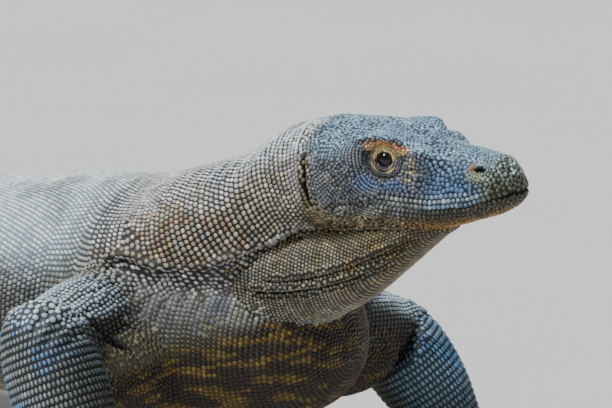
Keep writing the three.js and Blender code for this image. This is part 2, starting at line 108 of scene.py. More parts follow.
THROAT = np.array([
    [-297, 0, 349, 20, 358, 340, 2, 2],
    [-285, 0, 346, 32, 360, 332, 2, 2],
    [-270, 0, 341, 41, 360, 318.5, 2, 2.1],
    [-250, 0, 333, 48, 358, 299.5, 2, 2.1],
    [-230, 0, 325, 53, 356, 281, 2, 2.1],
    [-205, 0, 314, 57, 350, 258.5, 2, 2.1],
    [-176, 0, 304, 60, 344, 240, 2, 2.1],
    [-145, 0, 295, 62, 338, 228, 2, 2.1],
    [-115, 0, 288, 64, 330, 220, 2, 2.1],
    [-88, 0, 282, 64, 322, 216.5, 2, 2.1],
    [-62, 0, 276, 60, 314, 218, 2, 2.1],
    [-36, 0, 270, 50, 304, 226, 2, 2.1],
    [-14, 0, 266, 34, 290, 238, 2, 2],
])
BREAST = np.array([
    [-168, 34, 200, 16, 216, 184, 2, 2],
    [-163, 34, 198, 38, 238, 162, 2, 2],
    [-152, 32, 197, 58, 256, 144, 2, 2.1],
    [-134, 28, 200, 76, 272, 130, 2, 2.2],
    [-110, 22, 204, 92, 286, 120, 2, 2.3],
    [-80, 15, 207, 106, 296, 112, 2, 2.5],
    [-45, 8, 208, 117, 301, 107, 2, 2.7],
    [0, 4, 206, 127, 301, 103, 2, 2.9],
    [50, 11, 205, 129, 290, 104, 2, 2.9],
    [95, 29, 208, 119, 272, 110, 2, 2.6],
])
# Swellings and hollows on both sides of the midline: centre, reach along x, y, z, and height.
RELIEF = np.array([
    [44, -253, 424, 9, 21, 10, 15],
    [37, -280, 413, 10, 15, 11, 14],
    [47, -226, 425, 9, 14, 9, 4],
    [53, -243, 412, 14, 17, 11, -16],
    [29, -300, 417, 7, 30, 7, 2.5],
    [43, -286, 398, 9, 20, 13, -4],
    [27, -341, 408, 9, 14, 10, 3.5],
    [64, -192, 394, 15, 26, 22, 4],
    [0, -262, 438, 19, 28, 10, -6],
    [0, -298, 427, 14, 20, 8, -1.5],
    [100, 24, 300, 34, 55, 50, 6],
    [128, 112, 252, 30, 34, 60, -6],
    [132, 590, 205, 30, 40, 60, -6],
    [92, 690, 262, 30, 60, 40, 6],
])
# y and height of the line between the lips, from the snout's tip back.
MOUTH = np.array([[-373, 390.5], [-352, 384], [-327, 374.5], [-291, 368.5],
                  [-262, 370], [-239, 372], [-214, 370], [-196, 366]])
# side, joints from girdle to wrist or ankle, yaw of the paw, kind
LIMBS = {
    "fore_right": (-1, [[-84, 40, 232], [-223, 27, 237], [-240, -47, 86]], 12, "hand"),
    "fore_left": (1, [[92, -84, 204], [218, -106, 159], [252, -176, 46]], 20, "hand"),
    "hind_right": (-1, [[-62, 686, 240], [-218, 606, 184], [-242, 674, 46]], 22, "foot"),
    "hind_left": (1, [[84, 690, 240], [246, 664, 178], [238, 772, 60]], 30, "foot"),
}
# The flesh that fills each armpit below the upper arm: its ends, and rings like a bone's.
WEBS = {
    "right": ([-62, 4, 190], [-204, 20, 202]),
    "left": ([72, -72, 182], [192, -112, 148]),
}
WEB_GIRTH = np.array([[0, 58, 56], [0.35, 56, 54], [0.7, 48, 48], [0.9, 36, 38], [1, 20, 24]])
# share of the bone's length, radius across, radius fore and aft
GIRTH = {
    "hand": (
        np.array([[-0.02, 46, 50], [0.25, 48, 51], [0.55, 46, 47], [0.85, 41, 42], [1, 40, 41],
                  [1.14, 34, 34], [1.22, 20, 20]]),
        np.array([[-0.24, 20, 22], [-0.14, 35, 37], [0, 43, 44], [0.25, 46, 50], [0.55, 42, 45],
                  [0.85, 33, 33], [1, 30, 28], [1.1, 22, 20]]),
    ),
    "foot": (
        np.array([[-0.02, 60, 68], [0.25, 64, 74], [0.55, 56, 61], [0.85, 45, 46], [1, 41, 42],
                  [1.12, 34, 34], [1.19, 20, 20]]),
        np.array([[-0.22, 20, 22], [-0.13, 36, 38], [0, 43, 45], [0.28, 45, 50], [0.6, 38, 42],
                  [0.88, 30, 30], [1, 28, 27], [1.1, 21, 20]]),
    ),
}
# length, half-width, thickness, and for each digit: ahead, outwards, splay in degrees, length
PAWS = {
    "hand": (62, 36, 36,
             [[30, -26, -42, 38], [52, -19, -18, 48], [58, -1, 0, 54], [52, 17, 18, 50], [32, 26, 46, 42]]),
    "foot": (84, 35, 38,
             [[46, -25, -34, 42], [72, -18, -14, 54], [80, -2, 0, 66], [76, 14, 15, 72], [34, 26, 50, 54]]),
}
# share of the palm's length, share of its half-width, top, bottom
PALM = np.array([[-0.42, 0.5, 0.85, 0.25], [-0.25, 0.85, 1.35, -0.05], [0.1, 0.95, 1.45, -0.05],
                 [0.6, 1, 0.9, -0.05], [0.95, 0.86, 0.62, -0.03], [1.06, 0.6, 0.44, 0.06]])
# share of the digit's length, height of its middle, radius
DIGIT = np.array([[-0.3, 17, 10.4], [0.1, 16, 10.6], [0.6, 8.1, 9.8], [1, 6.6, 8.2], [1.08, 7.2, 4.5]])
LEVEL_WRIST = 46  # height of the wrist at which a paw lies flat
CLAW_LENGTH, CLAW_HALF_HEIGHT, CLAW_HALF_WIDTH = 29, 5.8, 3.7
CLAW_BEND, CLAW_TILT = 60, -0.35  # degrees it turns down along its arc; radians down at its root, so up
CLAW_START = 1  # how far a claw starts beyond its digit's last ring


# ---- curves, sections and tubes
def along(rows, t):
    """Cubic interpolation of a table's columns, at t in its first column."""
    t = np.asarray(t, float).ravel()
    n = len(rows)
    i = np.clip(np.searchsorted(rows[:, 0], t, side="right") - 1, 0, n - 2)
    before, after = np.clip(np.arange(n) - 1, 0, n - 1), np.clip(np.arange(n) + 1, 0, n - 1)
    slope = (rows[after] - rows[before]) / (rows[after, 0] - rows[before, 0])[:, None]
    step = rows[i + 1, 0] - rows[i, 0]
    u = np.clip((t - rows[i, 0]) / step, 0, 1)[:, None]
    step = step[:, None]
    return (rows[i] * (2 * u**3 - 3 * u**2 + 1) + rows[i + 1] * (3 * u**2 - 2 * u**3)
            + slope[i] * step * (u**3 - 2 * u**2 + u) + slope[i + 1] * step * (u**3 - u**2))


def turns(count):
    """Angles evenly round a circle, from 0."""
    return 2 * np.pi * np.arange(count) / count


def smooth(low, high, x):
    """0 below low, 1 above high, and an S-shaped step between."""
    u = np.clip((x - low) / (high - low), 0, 1)
    return u * u * (3 - 2 * u)


def fall(low, high, x):
    """1 below low, 0 above high, and an S-shaped step between."""
    return 1 - smooth(low, high, x)


def bump(x, centre, reach):
    """A bell of height 1 round a centre."""
    return np.exp(-(((x - centre) / reach) ** 2))


def patchy(p, size, seed):
    """Slow, smooth variation over space, from 0 to 1, with patches of about a size."""
    draw = np.random.default_rng(seed)
    total = 0
    for _ in range(14):
        way = draw.normal(size=3)
        along_way = p @ (way / np.linalg.norm(way)) * draw.uniform(1.6, 4.2) / size
        total = total + np.sin(along_way + draw.uniform(0, 6.3))
    return np.clip(0.5 + total / 14 * 0.95, 0, 1)


def relief(x, y, z):
    total = 0 * x
    for cx, cy, cz, rx, ry, rz, height in RELIEF:
        off = ((abs(x) - cx) / rx) ** 2 + ((y - cy) / ry) ** 2 + ((z - cz) / rz) ** 2
        total = total + height * np.exp(-off)
    return total


def section(rows, y, turn, grow=0.0):
    """Points of a form's sections: turn 0 is the left side, a quarter turn is the back."""
    r = along(rows, y).reshape(np.shape(y) + (8,))
    mid, level, half, top, bottom, up, down = (r[..., k] for k in range(1, 8))
    cos, sin = np.cos(turn), np.sin(turn)
    power = 2 / np.where(sin >= 0, up, down)
    x = half * np.sign(cos) * abs(cos) ** power
    z = np.where(sin >= 0, top - level, level - bottom) * np.sign(sin) * abs(sin) ** power
    length = np.hypot(x, z)
    k = (length + grow + relief(x, y, level + z)) / np.maximum(length, 1e-9)
    return np.stack([mid + x * k, y + 0 * x, level + z * k], -1)


def tube(rings):
    """A closed tube through rings of equal size, as points and faces facing out."""
    count, sides, _ = rings.shape
    points = np.concatenate([rings.reshape(-1, 3), rings[:1].mean(1), rings[-1:].mean(1)])
    i = np.arange(sides)
    j = (i + 1) % sides
    r = np.arange(count - 1)[:, None] * sides
    quads = np.stack([r + i, r + j, r + sides + j, r + sides + i], -1).reshape(-1, 4)
    end, first_hub = (count - 1) * sides, 0 * i + count * sides
    fans = [np.stack([j, i, first_hub], -1), np.stack([end + i, end + j, first_hub + 1], -1)]
    a, b, c, d = (points[quads[:, k]] for k in range(4))
    volume = (np.cross(b - a, c - a) * a).sum() + (np.cross(c - a, d - a) * a).sum()
    faces = quads.tolist() + fans[0].tolist() + fans[1].tolist()
    if volume < 0:
        faces = [f[::-1] for f in faces]
    return points, faces


def swept(rows, ys, sides, grow=-COAT):
    """Rings of a form at some stops along y."""
    turn = turns(sides)
    return section(rows, np.repeat(ys[:, None], sides, 1), turn[None, :] + 0 * ys[:, None], grow)


def hoops(middles, across, up, wide, high, sides):
    """Rings of a number of points round some middles, with their half-sizes along two directions."""
    turn = turns(sides)
    return middles + across * (wide * np.cos(turn))[..., None] + up * (high * np.sin(turn))[..., None]


def bone_rings(start, end, girth, shares, sides, grow=-COAT):
    """Rings round a bone, at some shares of its length."""
    start, end = np.array(start, float), np.array(end, float)
    axis = end - start
    reach = axis / np.linalg.norm(axis)
    aft = np.array([0, 1.0, 0])
    aft = aft - reach * aft.dot(reach)
    aft /= np.linalg.norm(aft)
    across = np.cross(reach, aft)
    r = along(girth, shares)
    middles = start + axis * np.asarray(shares)[:, None, None]
    return hoops(middles, across, aft, r[:, 1, None] + grow, r[:, 2, None] + grow, sides)


def paw_axes(side, yaw):
    """The level directions ahead of a paw and outwards from it."""
    turn = math.radians(side * yaw)
    cos, sin = math.cos(turn), math.sin(turn)
    return np.array([sin, -cos, 0]), side * np.array([cos, sin, 0])


def palm_rings(wrist, axes, length, half_width, thick, sides=20):
    """Rings round the flesh of a hand or foot, from its wrist or ankle to its digits."""
    ahead, outwards = axes
    shares = np.linspace(PALM[0, 0], PALM[-1, 0], 16)
    r = along(PALM, shares)
    low, high = r[:, 3] * thick + COAT, r[:, 2] * thick - COAT
    lift = (wrist[2] - LEVEL_WRIST) * fall(0, 0.9, shares)
    turn = turns(sides)
    height = (lift + (low + high) / 2)[:, None] + ((high - low) / 2)[:, None] * np.sin(turn)
    wide = (r[:, 1] * half_width - COAT)[:, None] * np.cos(turn)
    points = (np.array([wrist[0], wrist[1], 0]) + ahead * (shares * length)[:, None, None]
              + outwards * wide[..., None])
    points[..., 2] = height
    return points


def digit_axes(axes, splay):
    """The directions along a digit, across it and up."""
    turn = math.radians(splay)
    reach = axes[0] * math.cos(turn) + axes[1] * math.sin(turn)
    return reach, np.array([-reach[1], reach[0], 0]), np.array([0, 0, 1.0])


def digit_middle(wrist, axes, shape, share):
    forward, out, splay, length = shape
    turn = math.radians(splay)
    centre = (np.array([wrist[0], wrist[1], 0]) + axes[0] * (forward + share * length * math.cos(turn))
              + axes[1] * (out + share * length * math.sin(turn)))
    centre[2] = along(DIGIT, share)[0, 1]
    return centre


def digit_rings(wrist, axes, shape, sides=16):
    _, across, up = digit_axes(axes, shape[2])
    shares = np.linspace(DIGIT[0, 0], DIGIT[-1, 0], 20)
    radius = along(DIGIT, shares)[:, 2] - COAT
    # Two knuckles stand up a little over the joints of the digit.
    knuckle = 1.5 * (bump(shares, 0.28, 0.09) + bump(shares, 0.72, 0.08))
    top = np.sin(turns(sides)) > 0
    return np.array([hoops(digit_middle(wrist, axes, shape, s), across, up, rad, rad + k * top, sides)
                     for s, rad, k in zip(shares, radius, knuckle)])


def graded(steps):
    """Stops from the first to the last place of some (place, step) pairs, each step as they say there."""
    where, sizes = zip(*steps)
    out = [where[0]]
    while out[-1] < where[-1] - 0.5:
        out.append(min(where[-1], out[-1] + np.interp(out[-1], where, sizes)))
    return np.array(out)


# Every form, as rings: its kind, its limb and the place along it of each ring.
forms = []
for kind, table, sides, steps in (
    ("body", BODY, 96, [(-370, 1.5), (-345, 3), (-140, 4), (0, 8), (2100, 8), (2166, 2)]),
    ("throat", THROAT, 64, [(-297, 3), (-270, 5), (-14, 5)]),
    ("breast", BREAST, 64, [(-168, 2), (-140, 6), (95, 8)]),
):
    stops = graded(steps)
    forms.append((kind, None, stops, swept(table, stops, sides)))
for web in WEBS.values():
    shares = np.linspace(0, 1, 24)
    forms.append(("breast", None, shares, bone_rings(*web, WEB_GIRTH, shares, 48)))
for limb, (side, joints, yaw, kind) in LIMBS.items():
    axes = paw_axes(side, yaw)
    wrist = joints[2]
    for part in (0, 1):
        girth = GIRTH[kind][part]
        shares = np.linspace(girth[0, 0], girth[-1, 0], 36)
        rings = bone_rings(joints[part], joints[part + 1], girth, shares, 40)
        forms.append(("limb", limb, part + shares, rings))
    length, half_width, thick, digits = PAWS[kind]
    rings = palm_rings(wrist, axes, length, half_width, thick)
    forms.append(("paw", limb, 2.1 + 0.3 * np.linspace(0, 1, len(rings)), rings))
    for shape in digits:
        rings = digit_rings(wrist, axes, shape)
        forms.append(("digit", limb, 2.5 + 0.5 * np.linspace(0, 1, len(rings)), rings))


# ---- mesh tools
def mesh_of(name, points, faces):
    mesh = bpy.data.meshes.new(name)
    mesh.from_pydata(points, [], faces)
    mesh.update()
    return mesh


def object_of(mesh):
    made = bpy.data.objects.new(mesh.name, mesh)
    bpy.context.scene.collection.objects.link(made)
    return made


def vectors(items, key):
    """One vector of each of a mesh's items, as rows."""
    out = np.empty(len(items) * 3, np.float32)
    items.foreach_get(key, out)
    return out.reshape(-1, 3).astype(float)


def places(mesh):
    return vectors(mesh.vertices, "co")


def normals(mesh):
    """A mesh's smooth normals, one for each point."""
    return vectors(mesh.vertex_normals, "vector")


def set_places(mesh, points):
    mesh.vertices.foreach_set("co", np.asarray(points, np.float32).ravel())
    mesh.update()


def relaxed(mesh, weight, rounds, shrink=True):
    """Smooths a mesh's points, each by its weight. Without shrink, every second round swells back."""
    pairs = np.empty(len(mesh.edges) * 2, np.int32)
    mesh.edges.foreach_get("vertices", pairs)
    a, b = pairs.reshape(-1, 2).T
    count = len(mesh.vertices)
    near = np.maximum(np.bincount(a, minlength=count) + np.bincount(b, minlength=count), 1)
    points = places(mesh)
    for k in range(rounds):
        mean = np.stack([np.bincount(a, points[b, c], count) + np.bincount(b, points[a, c], count)
                         for c in range(3)], 1) / near[:, None]
        step = 0.5 if shrink or k % 2 == 0 else -0.52
        points += (mean - points) * (step * weight)[:, None]
    set_places(mesh, points)


def refine(mesh, wanted):
    """Splits every edge of the faces whose middle is wanted."""
    work = bmesh.new()
    work.from_mesh(mesh)
    middles = np.array([f.calc_center_median() for f in work.faces])
    chosen = wanted(middles)
    edges = {e for f, take in zip(work.faces, chosen) if take for e in f.edges}
    bmesh.ops.subdivide_edges(work, edges=list(edges), cuts=1, use_grid_fill=True)
    work.to_mesh(mesh)
    work.free()
    mesh.update()


# ---- the skin's shape
VOXEL = 4.0
points, faces = [], []
for kind, limb, stops, rings in forms:
    p, f = tube(rings)
    base = sum(len(q) for q in points)
    points.append(p)
    faces += [[base + i for i in face] for face in f]
rough = object_of(mesh_of("rough", np.concatenate(points), faces))
remesh = rough.modifiers.new("remesh", "REMESH")
remesh.mode = "VOXEL"
remesh.voxel_size = VOXEL
depsgraph = bpy.context.evaluated_depsgraph_get()
skin_mesh = bpy.data.meshes.new_from_object(rough.evaluated_get(depsgraph))
skin_mesh.name = "skin"
bpy.data.objects.remove(rough)

places_now = places(skin_mesh)
every = np.ones(len(places_now))
relaxed(skin_mesh, every, 4, shrink=False)
# the joins at the shoulders, hips, elbows and knees are softened, and those of the throat and breast
soft = 0 * every
for limb, (side, joints, yaw, kind) in LIMBS.items():
    for joint, reach in ((joints[0], 95), (joints[1], 50)):
        away = np.linalg.norm(places_now - joint, axis=1)
        soft = np.maximum(soft, fall(0.45 * reach, reach, away))
away = np.linalg.norm((places_now - [0, -90, 250]) * [1, 0.8, 1], axis=1)
soft = np.maximum(soft, fall(60, 110, away))
relaxed(skin_mesh, soft, 24)


def eye_axes(side):
    """The directions forwards, up and outwards at the eye of a side, -1 or 1, or at each of many."""
    side = np.asarray(side, float)[..., None]
    out = side * [0.985, 0, 0] + [0, -0.12, 0.12]
    out = out / np.linalg.norm(out, axis=-1, keepdims=True)
    ahead = [0, -1.0, 0] + out * out[..., 1:2]
    ahead = ahead / np.linalg.norm(ahead, axis=-1, keepdims=True)
    return ahead, np.cross(ahead, out) * side, out


def eye_place(p):
    """Each point's place round the eye on its side: forwards, up and outwards from the eye's middle."""
    side = np.where(p[:, 0] < 0, -1.0, 1.0)
    ahead, up, out = eye_axes(side)
    d = p - EYE * np.stack([side, 0 * side + 1, 0 * side + 1], 1)
    return (d * ahead).sum(1), (d * up).sum(1), (d * out).sum(1), out


def above_lips(y, z):
    """Height above the line between the lips."""
    return z - np.interp(y, *MOUTH.T)


# The mesh is finer in front, where the camera looks, and finest round the features of the head.
refine(skin_mesh, lambda m: (m[:, 1] < 150) & (m[:, 2] > 60))
relaxed(skin_mesh, (places(skin_mesh)[:, 1] < 155) * 1.0, 4, shrink=False)


def by_feature(m):
    """Which face middles lie near the mouth, a nostril, an eye or an ear."""
    ahead, up, out, _ = eye_place(m)
    eye = np.hypot(ahead - 3, up) < 31
    mouth = abs(above_lips(m[:, 1], m[:, 2])) < 6
    nostril = np.hypot(m[:, 1] + 340, m[:, 2] - 408) < 13
    ear = (abs(m[:, 1] + 168) < 11) & (abs(m[:, 2] - 385) < 34) & (abs(m[:, 0]) > 40)
    return ((m[:, 1] < -205) & (mouth | nostril) | (eye & (out > -12)) | ear) & (m[:, 2] > 340)


refine(skin_mesh, by_feature)


def by_eye(m):
    """Which face middles lie close to an eye."""
    ahead, up, out, _ = eye_place(m)
    return (np.hypot(ahead, up) < 23) & (out > -10)


refine(skin_mesh, by_eye)
place = places(skin_mesh)
relaxed(skin_mesh, ((place[:, 1] < -150) & (place[:, 2] > 330)) * 1.0, 4, shrink=False)


def run(path):
    """Length of a path up to each of its points."""
    return np.concatenate([[0], np.cumsum(np.linalg.norm(np.diff(path, axis=0), axis=1))])


def offset_from(path, y, z):
    """Distance above a path in (y, z), and the share of the path's length at the nearest point."""
    stops = np.linspace(0, len(path) - 1, 6 * len(path))
    fine = along(np.column_stack([np.arange(len(path)), path]), stops)[:, 1:]
    length = run(fine)
    best = np.full(len(y), 1e9)
    above, share = np.zeros(len(y)), np.zeros(len(y))
    for k in range(len(fine) - 1):
        (ay, az), (by, bz) = fine[k], fine[k + 1]
        ey, ez = by - ay, bz - az
        size = math.hypot(ey, ez)
        t = np.clip(((y - ay) * ey + (z - az) * ez) / size**2, 0, 1)
        dy, dz = y - ay - t * ey, z - az - t * ez
        d = np.hypot(dy, dz)
        side = np.sign(-ez * dy + ey * dz) * (1 if ey > 0 else -1)
        closer = d < best
        best = np.where(closer, d, best)
        above = np.where(closer, side * d, above)
        share = np.where(closer, (length[k] + t * size) / length[-1], share)
    return above, share


def ends(share, fade=0.12):
    """Fades a path's effect out at both its ends."""
    return smooth(0, fade, share) * fall(1 - fade, 1, share)


# The paths of the folds and of the ear's slit, and the nostril's place, as y and height.
NECK_FOLD = np.array([[38, 276], [31, 288], [18, 293], [4, 293], [-12, 288],
                      [-60, 288], [-86, 299], [-111, 312], [-127, 319], [-154, 337]])
GULAR_FOLDS = (
    np.array([[-112, 281], [-150, 286], [-194, 299], [-235, 318], [-276, 341]]),
    np.array([[-95, 270], [-135, 272], [-190, 285], [-232, 304], [-272, 327]]),
)
EAR = np.array([[-164, 414], [-168, 398], [-171, 380], [-177, 356]])
NOSTRIL = (-337, 410)


# How far towards the shoulder or hip each elbow's or knee's crease lies, and how deep it is.
CREASES = {"fore_right": (22, 9), "fore_left": (3, 9), "hind_right": (8, 6), "hind_left": (8, 6)}


def crease(p, limb):
    """Height of the crease on the inner side of a bent elbow or knee, and of the flesh beside it; and how
    much painted shade darkens the crease.
    """
    a, b, c = (np.array(j, float) for j in LIMBS[limb][1])
    u, v = (a - b) / np.linalg.norm(a - b), (c - b) / np.linalg.norm(c - b)
    across, inner = (v - u) / np.linalg.norm(v - u), (u + v) / np.linalg.norm(u + v)
    shift, depth = CREASES[limb]
    d, q = (p - b) @ across + shift, (p - b) @ inner
    near = smooth(2, 30, q) * fall(75, 105, np.linalg.norm(p - b, axis=1))
    return near * (-depth * bump(d, 0, 4.5) + 0.35 * depth * bump(d, 11, 8)), near * bump(d, 0, 8)


def shelf(ahead):
    """Height of the brow's edge above the eye's middle."""
    return 20.5 - 5.5 * np.clip(-ahead / 25, 0, 1) ** 1.5 - 4.5 * np.clip(ahead / 25, 0, 1.3) ** 1.2


def shaped(p, n):
    """Moves the skin's points along its normals into folds, lips, nostrils, brows, ears and creases."""
    x, y, z = p.T
    flank = smooth(0.25, 0.6, abs(n[:, 0]))
    lift = 0 * x
    # the loose fold along the side of the neck, with a deep line below it
    d, s = offset_from(NECK_FOLD, y, z)
    wave = 1 + 0.35 * np.sin(s * 23)
    strong = ends(s, 0.06) * (1 - 0.7 * bump(s, 0.42, 0.13))
    lift += flank * strong * (
        4.6 * wave * bump(d, 4.5, 5) - 3.6 * bump(d, -2, 2.2) - 2.0 * bump(d, -9, 7))
    # wrinkles across the neck, below the fold and over the nape
    across = np.sin((y + 0.42 * z) / 2.6 + 1.3 * np.sin(z / 17))
    across = across * smooth(-165, -140, y) * fall(0, 60, y)
    lift += across * (0.9 * bump(z, 272, 26) * (y > -110) + 0.55 * smooth(0.3, 0.7, n[:, 2]))
    # folds under the jaw
    for path, strength in zip(GULAR_FOLDS, (1.0, 1.2)):
        d, s = offset_from(path, y, z)
        lift += flank * ends(s) * strength * (2.6 * bump(d, 3.6, 3) - 3.4 * bump(d, -1.5, 2))
    # mouth
    mouth = (y < -150) * fall(-214, -198, y) * (z > 345) * (1 - 0.5 * smooth(-300, -262, y))
    d = above_lips(y, z)
    lift += mouth * (-2.2 * bump(d, 0, 1.3) + 0.9 * bump(d, 3.4, 2.2) + 0.7 * bump(d, -3.6, 2.4))
    # nostril: a long slit over a swollen lower rim
    a, b = NOSTRIL[0] - y, z - NOSTRIL[1] - 0.12 * (NOSTRIL[0] - y)
    nose = (abs(x) > 12) * 1.0
    r = np.hypot(a / 6.2, b / 2.1)
    lift += nose * (-5.5 * fall(0.5, 1.2, r) + 0.8 * bump(r, 1.6, 0.4))
    lift += nose * 2.0 * np.exp(-((a + 3) / 8) ** 2 - ((b + 7) / 4.5) ** 2)
    # the shelf of the brow, over a hollow above the eye
    a, b, c, _ = eye_place(p)
    over = b - shelf(a)
    brow = (c > -8) * smooth(-33, -25, a) * fall(14, 44, a) * (z > 400)
    lift += brow * (2.4 * bump(over, 0.6, 2.3) - 1.2 * bump(over, -3.4, 1.8))
    # ear: a deep upright slit between two narrow ridges
    d, s = offset_from(EAR, y, z)
    d = -np.sign(y - np.interp(z, EAR[::-1, 1], EAR[::-1, 0])) * abs(d)
    ear = (abs(x) > 40) * ends(s, 0.2)
    lift += ear * (-7 * bump(d, 0, 2.0) + 1.8 * bump(d, 5.2, 2.4) + 1.4 * bump(d, -5.5, 2.6))
    # the creases of the bent elbows and knees
    for limb in LIMBS:
        lift += crease(p, limb)[0]
    # slow unevenness, so that no surface is perfectly even
    lift += 0.5 * np.sin(x / 19 + 2 * np.sin(y / 47)) * np.sin(y / 23 + z / 31) * smooth(-330, -200, y)
    return p + n * lift[:, None]


def lidded(p):
    """Shapes the lids and the orbit round each eye."""
    ahead, up, out, axis = eye_place(p)
    near = (np.hypot(ahead, up) < 25) & (out > -14)
    half_up, half_wide = np.where(up > 0, 6.5, 6.7), np.where(ahead > 0, 7.8, 7.5)
    rho = np.hypot(ahead / half_wide, up / half_up)
    r = np.hypot(ahead, up)
    far = np.maximum(r, 1)
    edge = 17.5 - 4.5 * smooth(0.2, 0.9, up / far) + 1.5 * smooth(0, 0.8, ahead / far)
    ball = np.sqrt(np.maximum((EYE_RADIUS + 1.2) ** 2 - r**2, 1.0))
    lid = np.maximum(ball, 8.3 + 1.3 * smooth(8, 10.5, r) - 0.12 * np.maximum(r - 11, 0))
    inside = np.sqrt(np.maximum(EYE_RADIUS**2 - r**2, 1.0)) - 1.5
    target = inside + (lid - inside) * smooth(0.92, 1.06, rho)
    target -= 0.8 * bump(r, 11.6, 0.55) + (up < 4) * (0.6 * bump(r, 14.2, 0.6) + 0.4 * bump(r, 16.4, 0.5))
    target -= 1.8 * bump(r, edge + 1, 1.3) * (up < 8)
    keep = smooth(edge - 0.5, edge + 4, r)
    new = target * (1 - keep) + out * keep
    move = np.where(near, new - out, 0)
    return p + axis * move[:, None]


p, n = places(skin_mesh), normals(skin_mesh)
p = shaped(p, n)
set_places(skin_mesh, p)
p = lidded(p)
p[:, 2] = np.maximum(p[:, 2], LOWEST_SKIN)
set_places(skin_mesh, p)


# ---- where a point of the skin is
KINDS = ["body", "throat", "breast", "limb", "paw", "digit"]
IN_BODY, IN_THROAT, IN_BREAST, IN_LIMB, _, _ = range(len(KINDS))


def tree_of(points):
    """A tree for finding the nearest of some points."""
    tree = KDTree(len(points))
    for i, q in enumerate(points):
        tree.insert(q, i)
    tree.balance()
    return tree


# Every third point of every form's rings, with its kind, its limb and its place along that.
form_points = np.concatenate([rings.reshape(-1, 3)[::3] for _, _, _, rings in forms])
form_stop = np.concatenate([np.repeat(stops, r.shape[1])[::3] for _, _, stops, r in forms])
form_sizes = [len(r.reshape(-1, 3)[::3]) for _, _, _, r in forms]
form_kind = np.repeat([KINDS.index(kind) for kind, _, _, _ in forms], form_sizes)
form_limb = np.repeat([list(LIMBS).index(limb) if limb else -1 for _, limb, _, _ in forms], form_sizes)
form_tree = tree_of(form_points)


def located(points):
    """The kind of form nearest each point, its limb and the place along it."""
    near = np.array([form_tree.find(q)[1] for q in points])
    return form_kind[near], form_limb[near], form_stop[near]


def section_share(p):
    """How high each point is in the body's section there, from belly 0 to back 1."""
    r = along(BODY, p[:, 1])
    return np.clip((p[:, 2] - r[:, BOTTOM]) / (r[:, TOP] - r[:, BOTTOM]), 0, 1)


def woven(p, kind):
    """Where the neck's scales join into slanting ridges, into upright ones, or sink into a pale net."""
    y, z = p[:, 1], p[:, 2]
    body = kind == IN_BODY
    fold, _ = offset_from(NECK_FOLD, y, z)
    roof = np.interp(y, [-170, -100, -20, 40], [390, 371, 352, 330]) + 34 * (patchy(p, 22, 23) - 0.5)
    net = body * smooth(-178, -150, y) * fall(-5, 50, y) * fall(-24, 18, z - roof) * smooth(2, 7, fold)
    slant = body * smooth(-130, -60, y) * fall(150, 300, y) * smooth(240, 290, z) * (1 - net)
    upright = body * smooth(-180, -165, y) * fall(-110, -80, y) * smooth(370, 392, z)
    return slant, upright, net


def chest_side(y, z):
    """0 on the underside of the chest and 1 on its side."""
    edge = 190 - 0.45 * y
    return smooth(edge - 16, edge + 12, z)


def celled(p, kind):
    """Where the shoulder's and the chest's side has dark scales sunk in a pale net."""
    y, z = p[:, 1], p[:, 2]
    near = ((kind == IN_BODY) | (kind == IN_BREAST)) * smooth(-120, -70, y) * fall(60, 130, y)
    return near * fall(240, 274, z) * chest_side(y, z)


def pitch_of(p, kind):
    """The usual distance between neighbouring scales."""
    y, z = p[:, 1], p[:, 2]
    size = np.interp(y, [-372, -330, -290, -180, -150, -60, 60, 700, 1100, 1700, 2160],
                     [3.2, 3.4, 3.8, 4.0, 5.2, 5.4, 5.8, 6.8, 6.6, 5.4, 3.2])
    above = above_lips(y, z)
    snout = fall(-300, -270, y) * smooth(4, 14, above) * (z < 420)
    size = size + 0.9 * snout - 0.6 * bump(y, -205, 30) * (z > 365) * (z < 430)
    size = np.where((y < -225) & (abs(above - 5) < 4), 4.6, size)
    size = np.where(np.hypot(y - NOSTRIL[0], z - NOSTRIL[1]) < 12, 2.8, size)
    ahead, up, _, _ = eye_place(p)
    size = np.where(np.hypot(ahead, up) < 19, 2.3, size)
    size = size + 0.8 * woven(p, kind)[2] * smooth(-130, -100, y)
    size = size - 0.8 * smooth(-130, -80, y) * fall(40, 90, y) * fall(265, 290, z)
    size = np.where((kind == IN_BODY) & (section_share(p) < 0.22) & (y > 100), size * 1.15, size)
    cells = 1.1 * celled(p, kind)
    size = size + cells * (kind == IN_BODY)
    on_throat, on_breast = np.minimum(size, 4.1), np.minimum(size, 5.2) + cells
    return np.choose(kind, [size, on_throat, on_breast, 6.0 + 0 * size, 4.8 + 0 * size, 3.9 + 0 * size])


# ---- where the scales stand
skin_points, skin_normals = places(skin_mesh), normals(skin_mesh)
work = bmesh.new()
work.from_mesh(skin_mesh)
bmesh.ops.triangulate(work, faces=work.faces[:])
work.faces.ensure_lookup_table()
skin_tree = BVHTree.FromBMesh(work)
skin_faces = np.array([[v.index for v in f.verts] for f in work.faces])
work.free()


def on_skin(points):
    """Nearest places on the skin, with its smooth normals there and how far off each point was."""
    found = [skin_tree.find_nearest(q) for q in points]
    at = np.array([f[0] for f in found])
    n = skin_normals[skin_faces[[f[2] for f in found]]].mean(1)
    return at, n / np.linalg.norm(n, axis=1)[:, None], np.array([f[3] for f in found])


def evenly(ring, pitch, shift):
    """Places a pitch apart round a closed ring, from its first point."""
    ring = np.vstack([ring, ring[:1]])
    length = run(ring)
    count = max(3, round(length[-1] / pitch))
    t = (np.arange(count) + shift) / count * length[-1]
    return np.stack([np.interp(t % length[-1], length, ring[:, c]) for c in range(3)], 1)


# Rows of scales run across the body and round the limbs. In shares of the pitch: how far apart the rows
# stand, and the scales in a row.
ROW, IN_ROW = 0.97, 0.9
LIMB_ROW, IN_LIMB_ROW = 1.22, 0.77
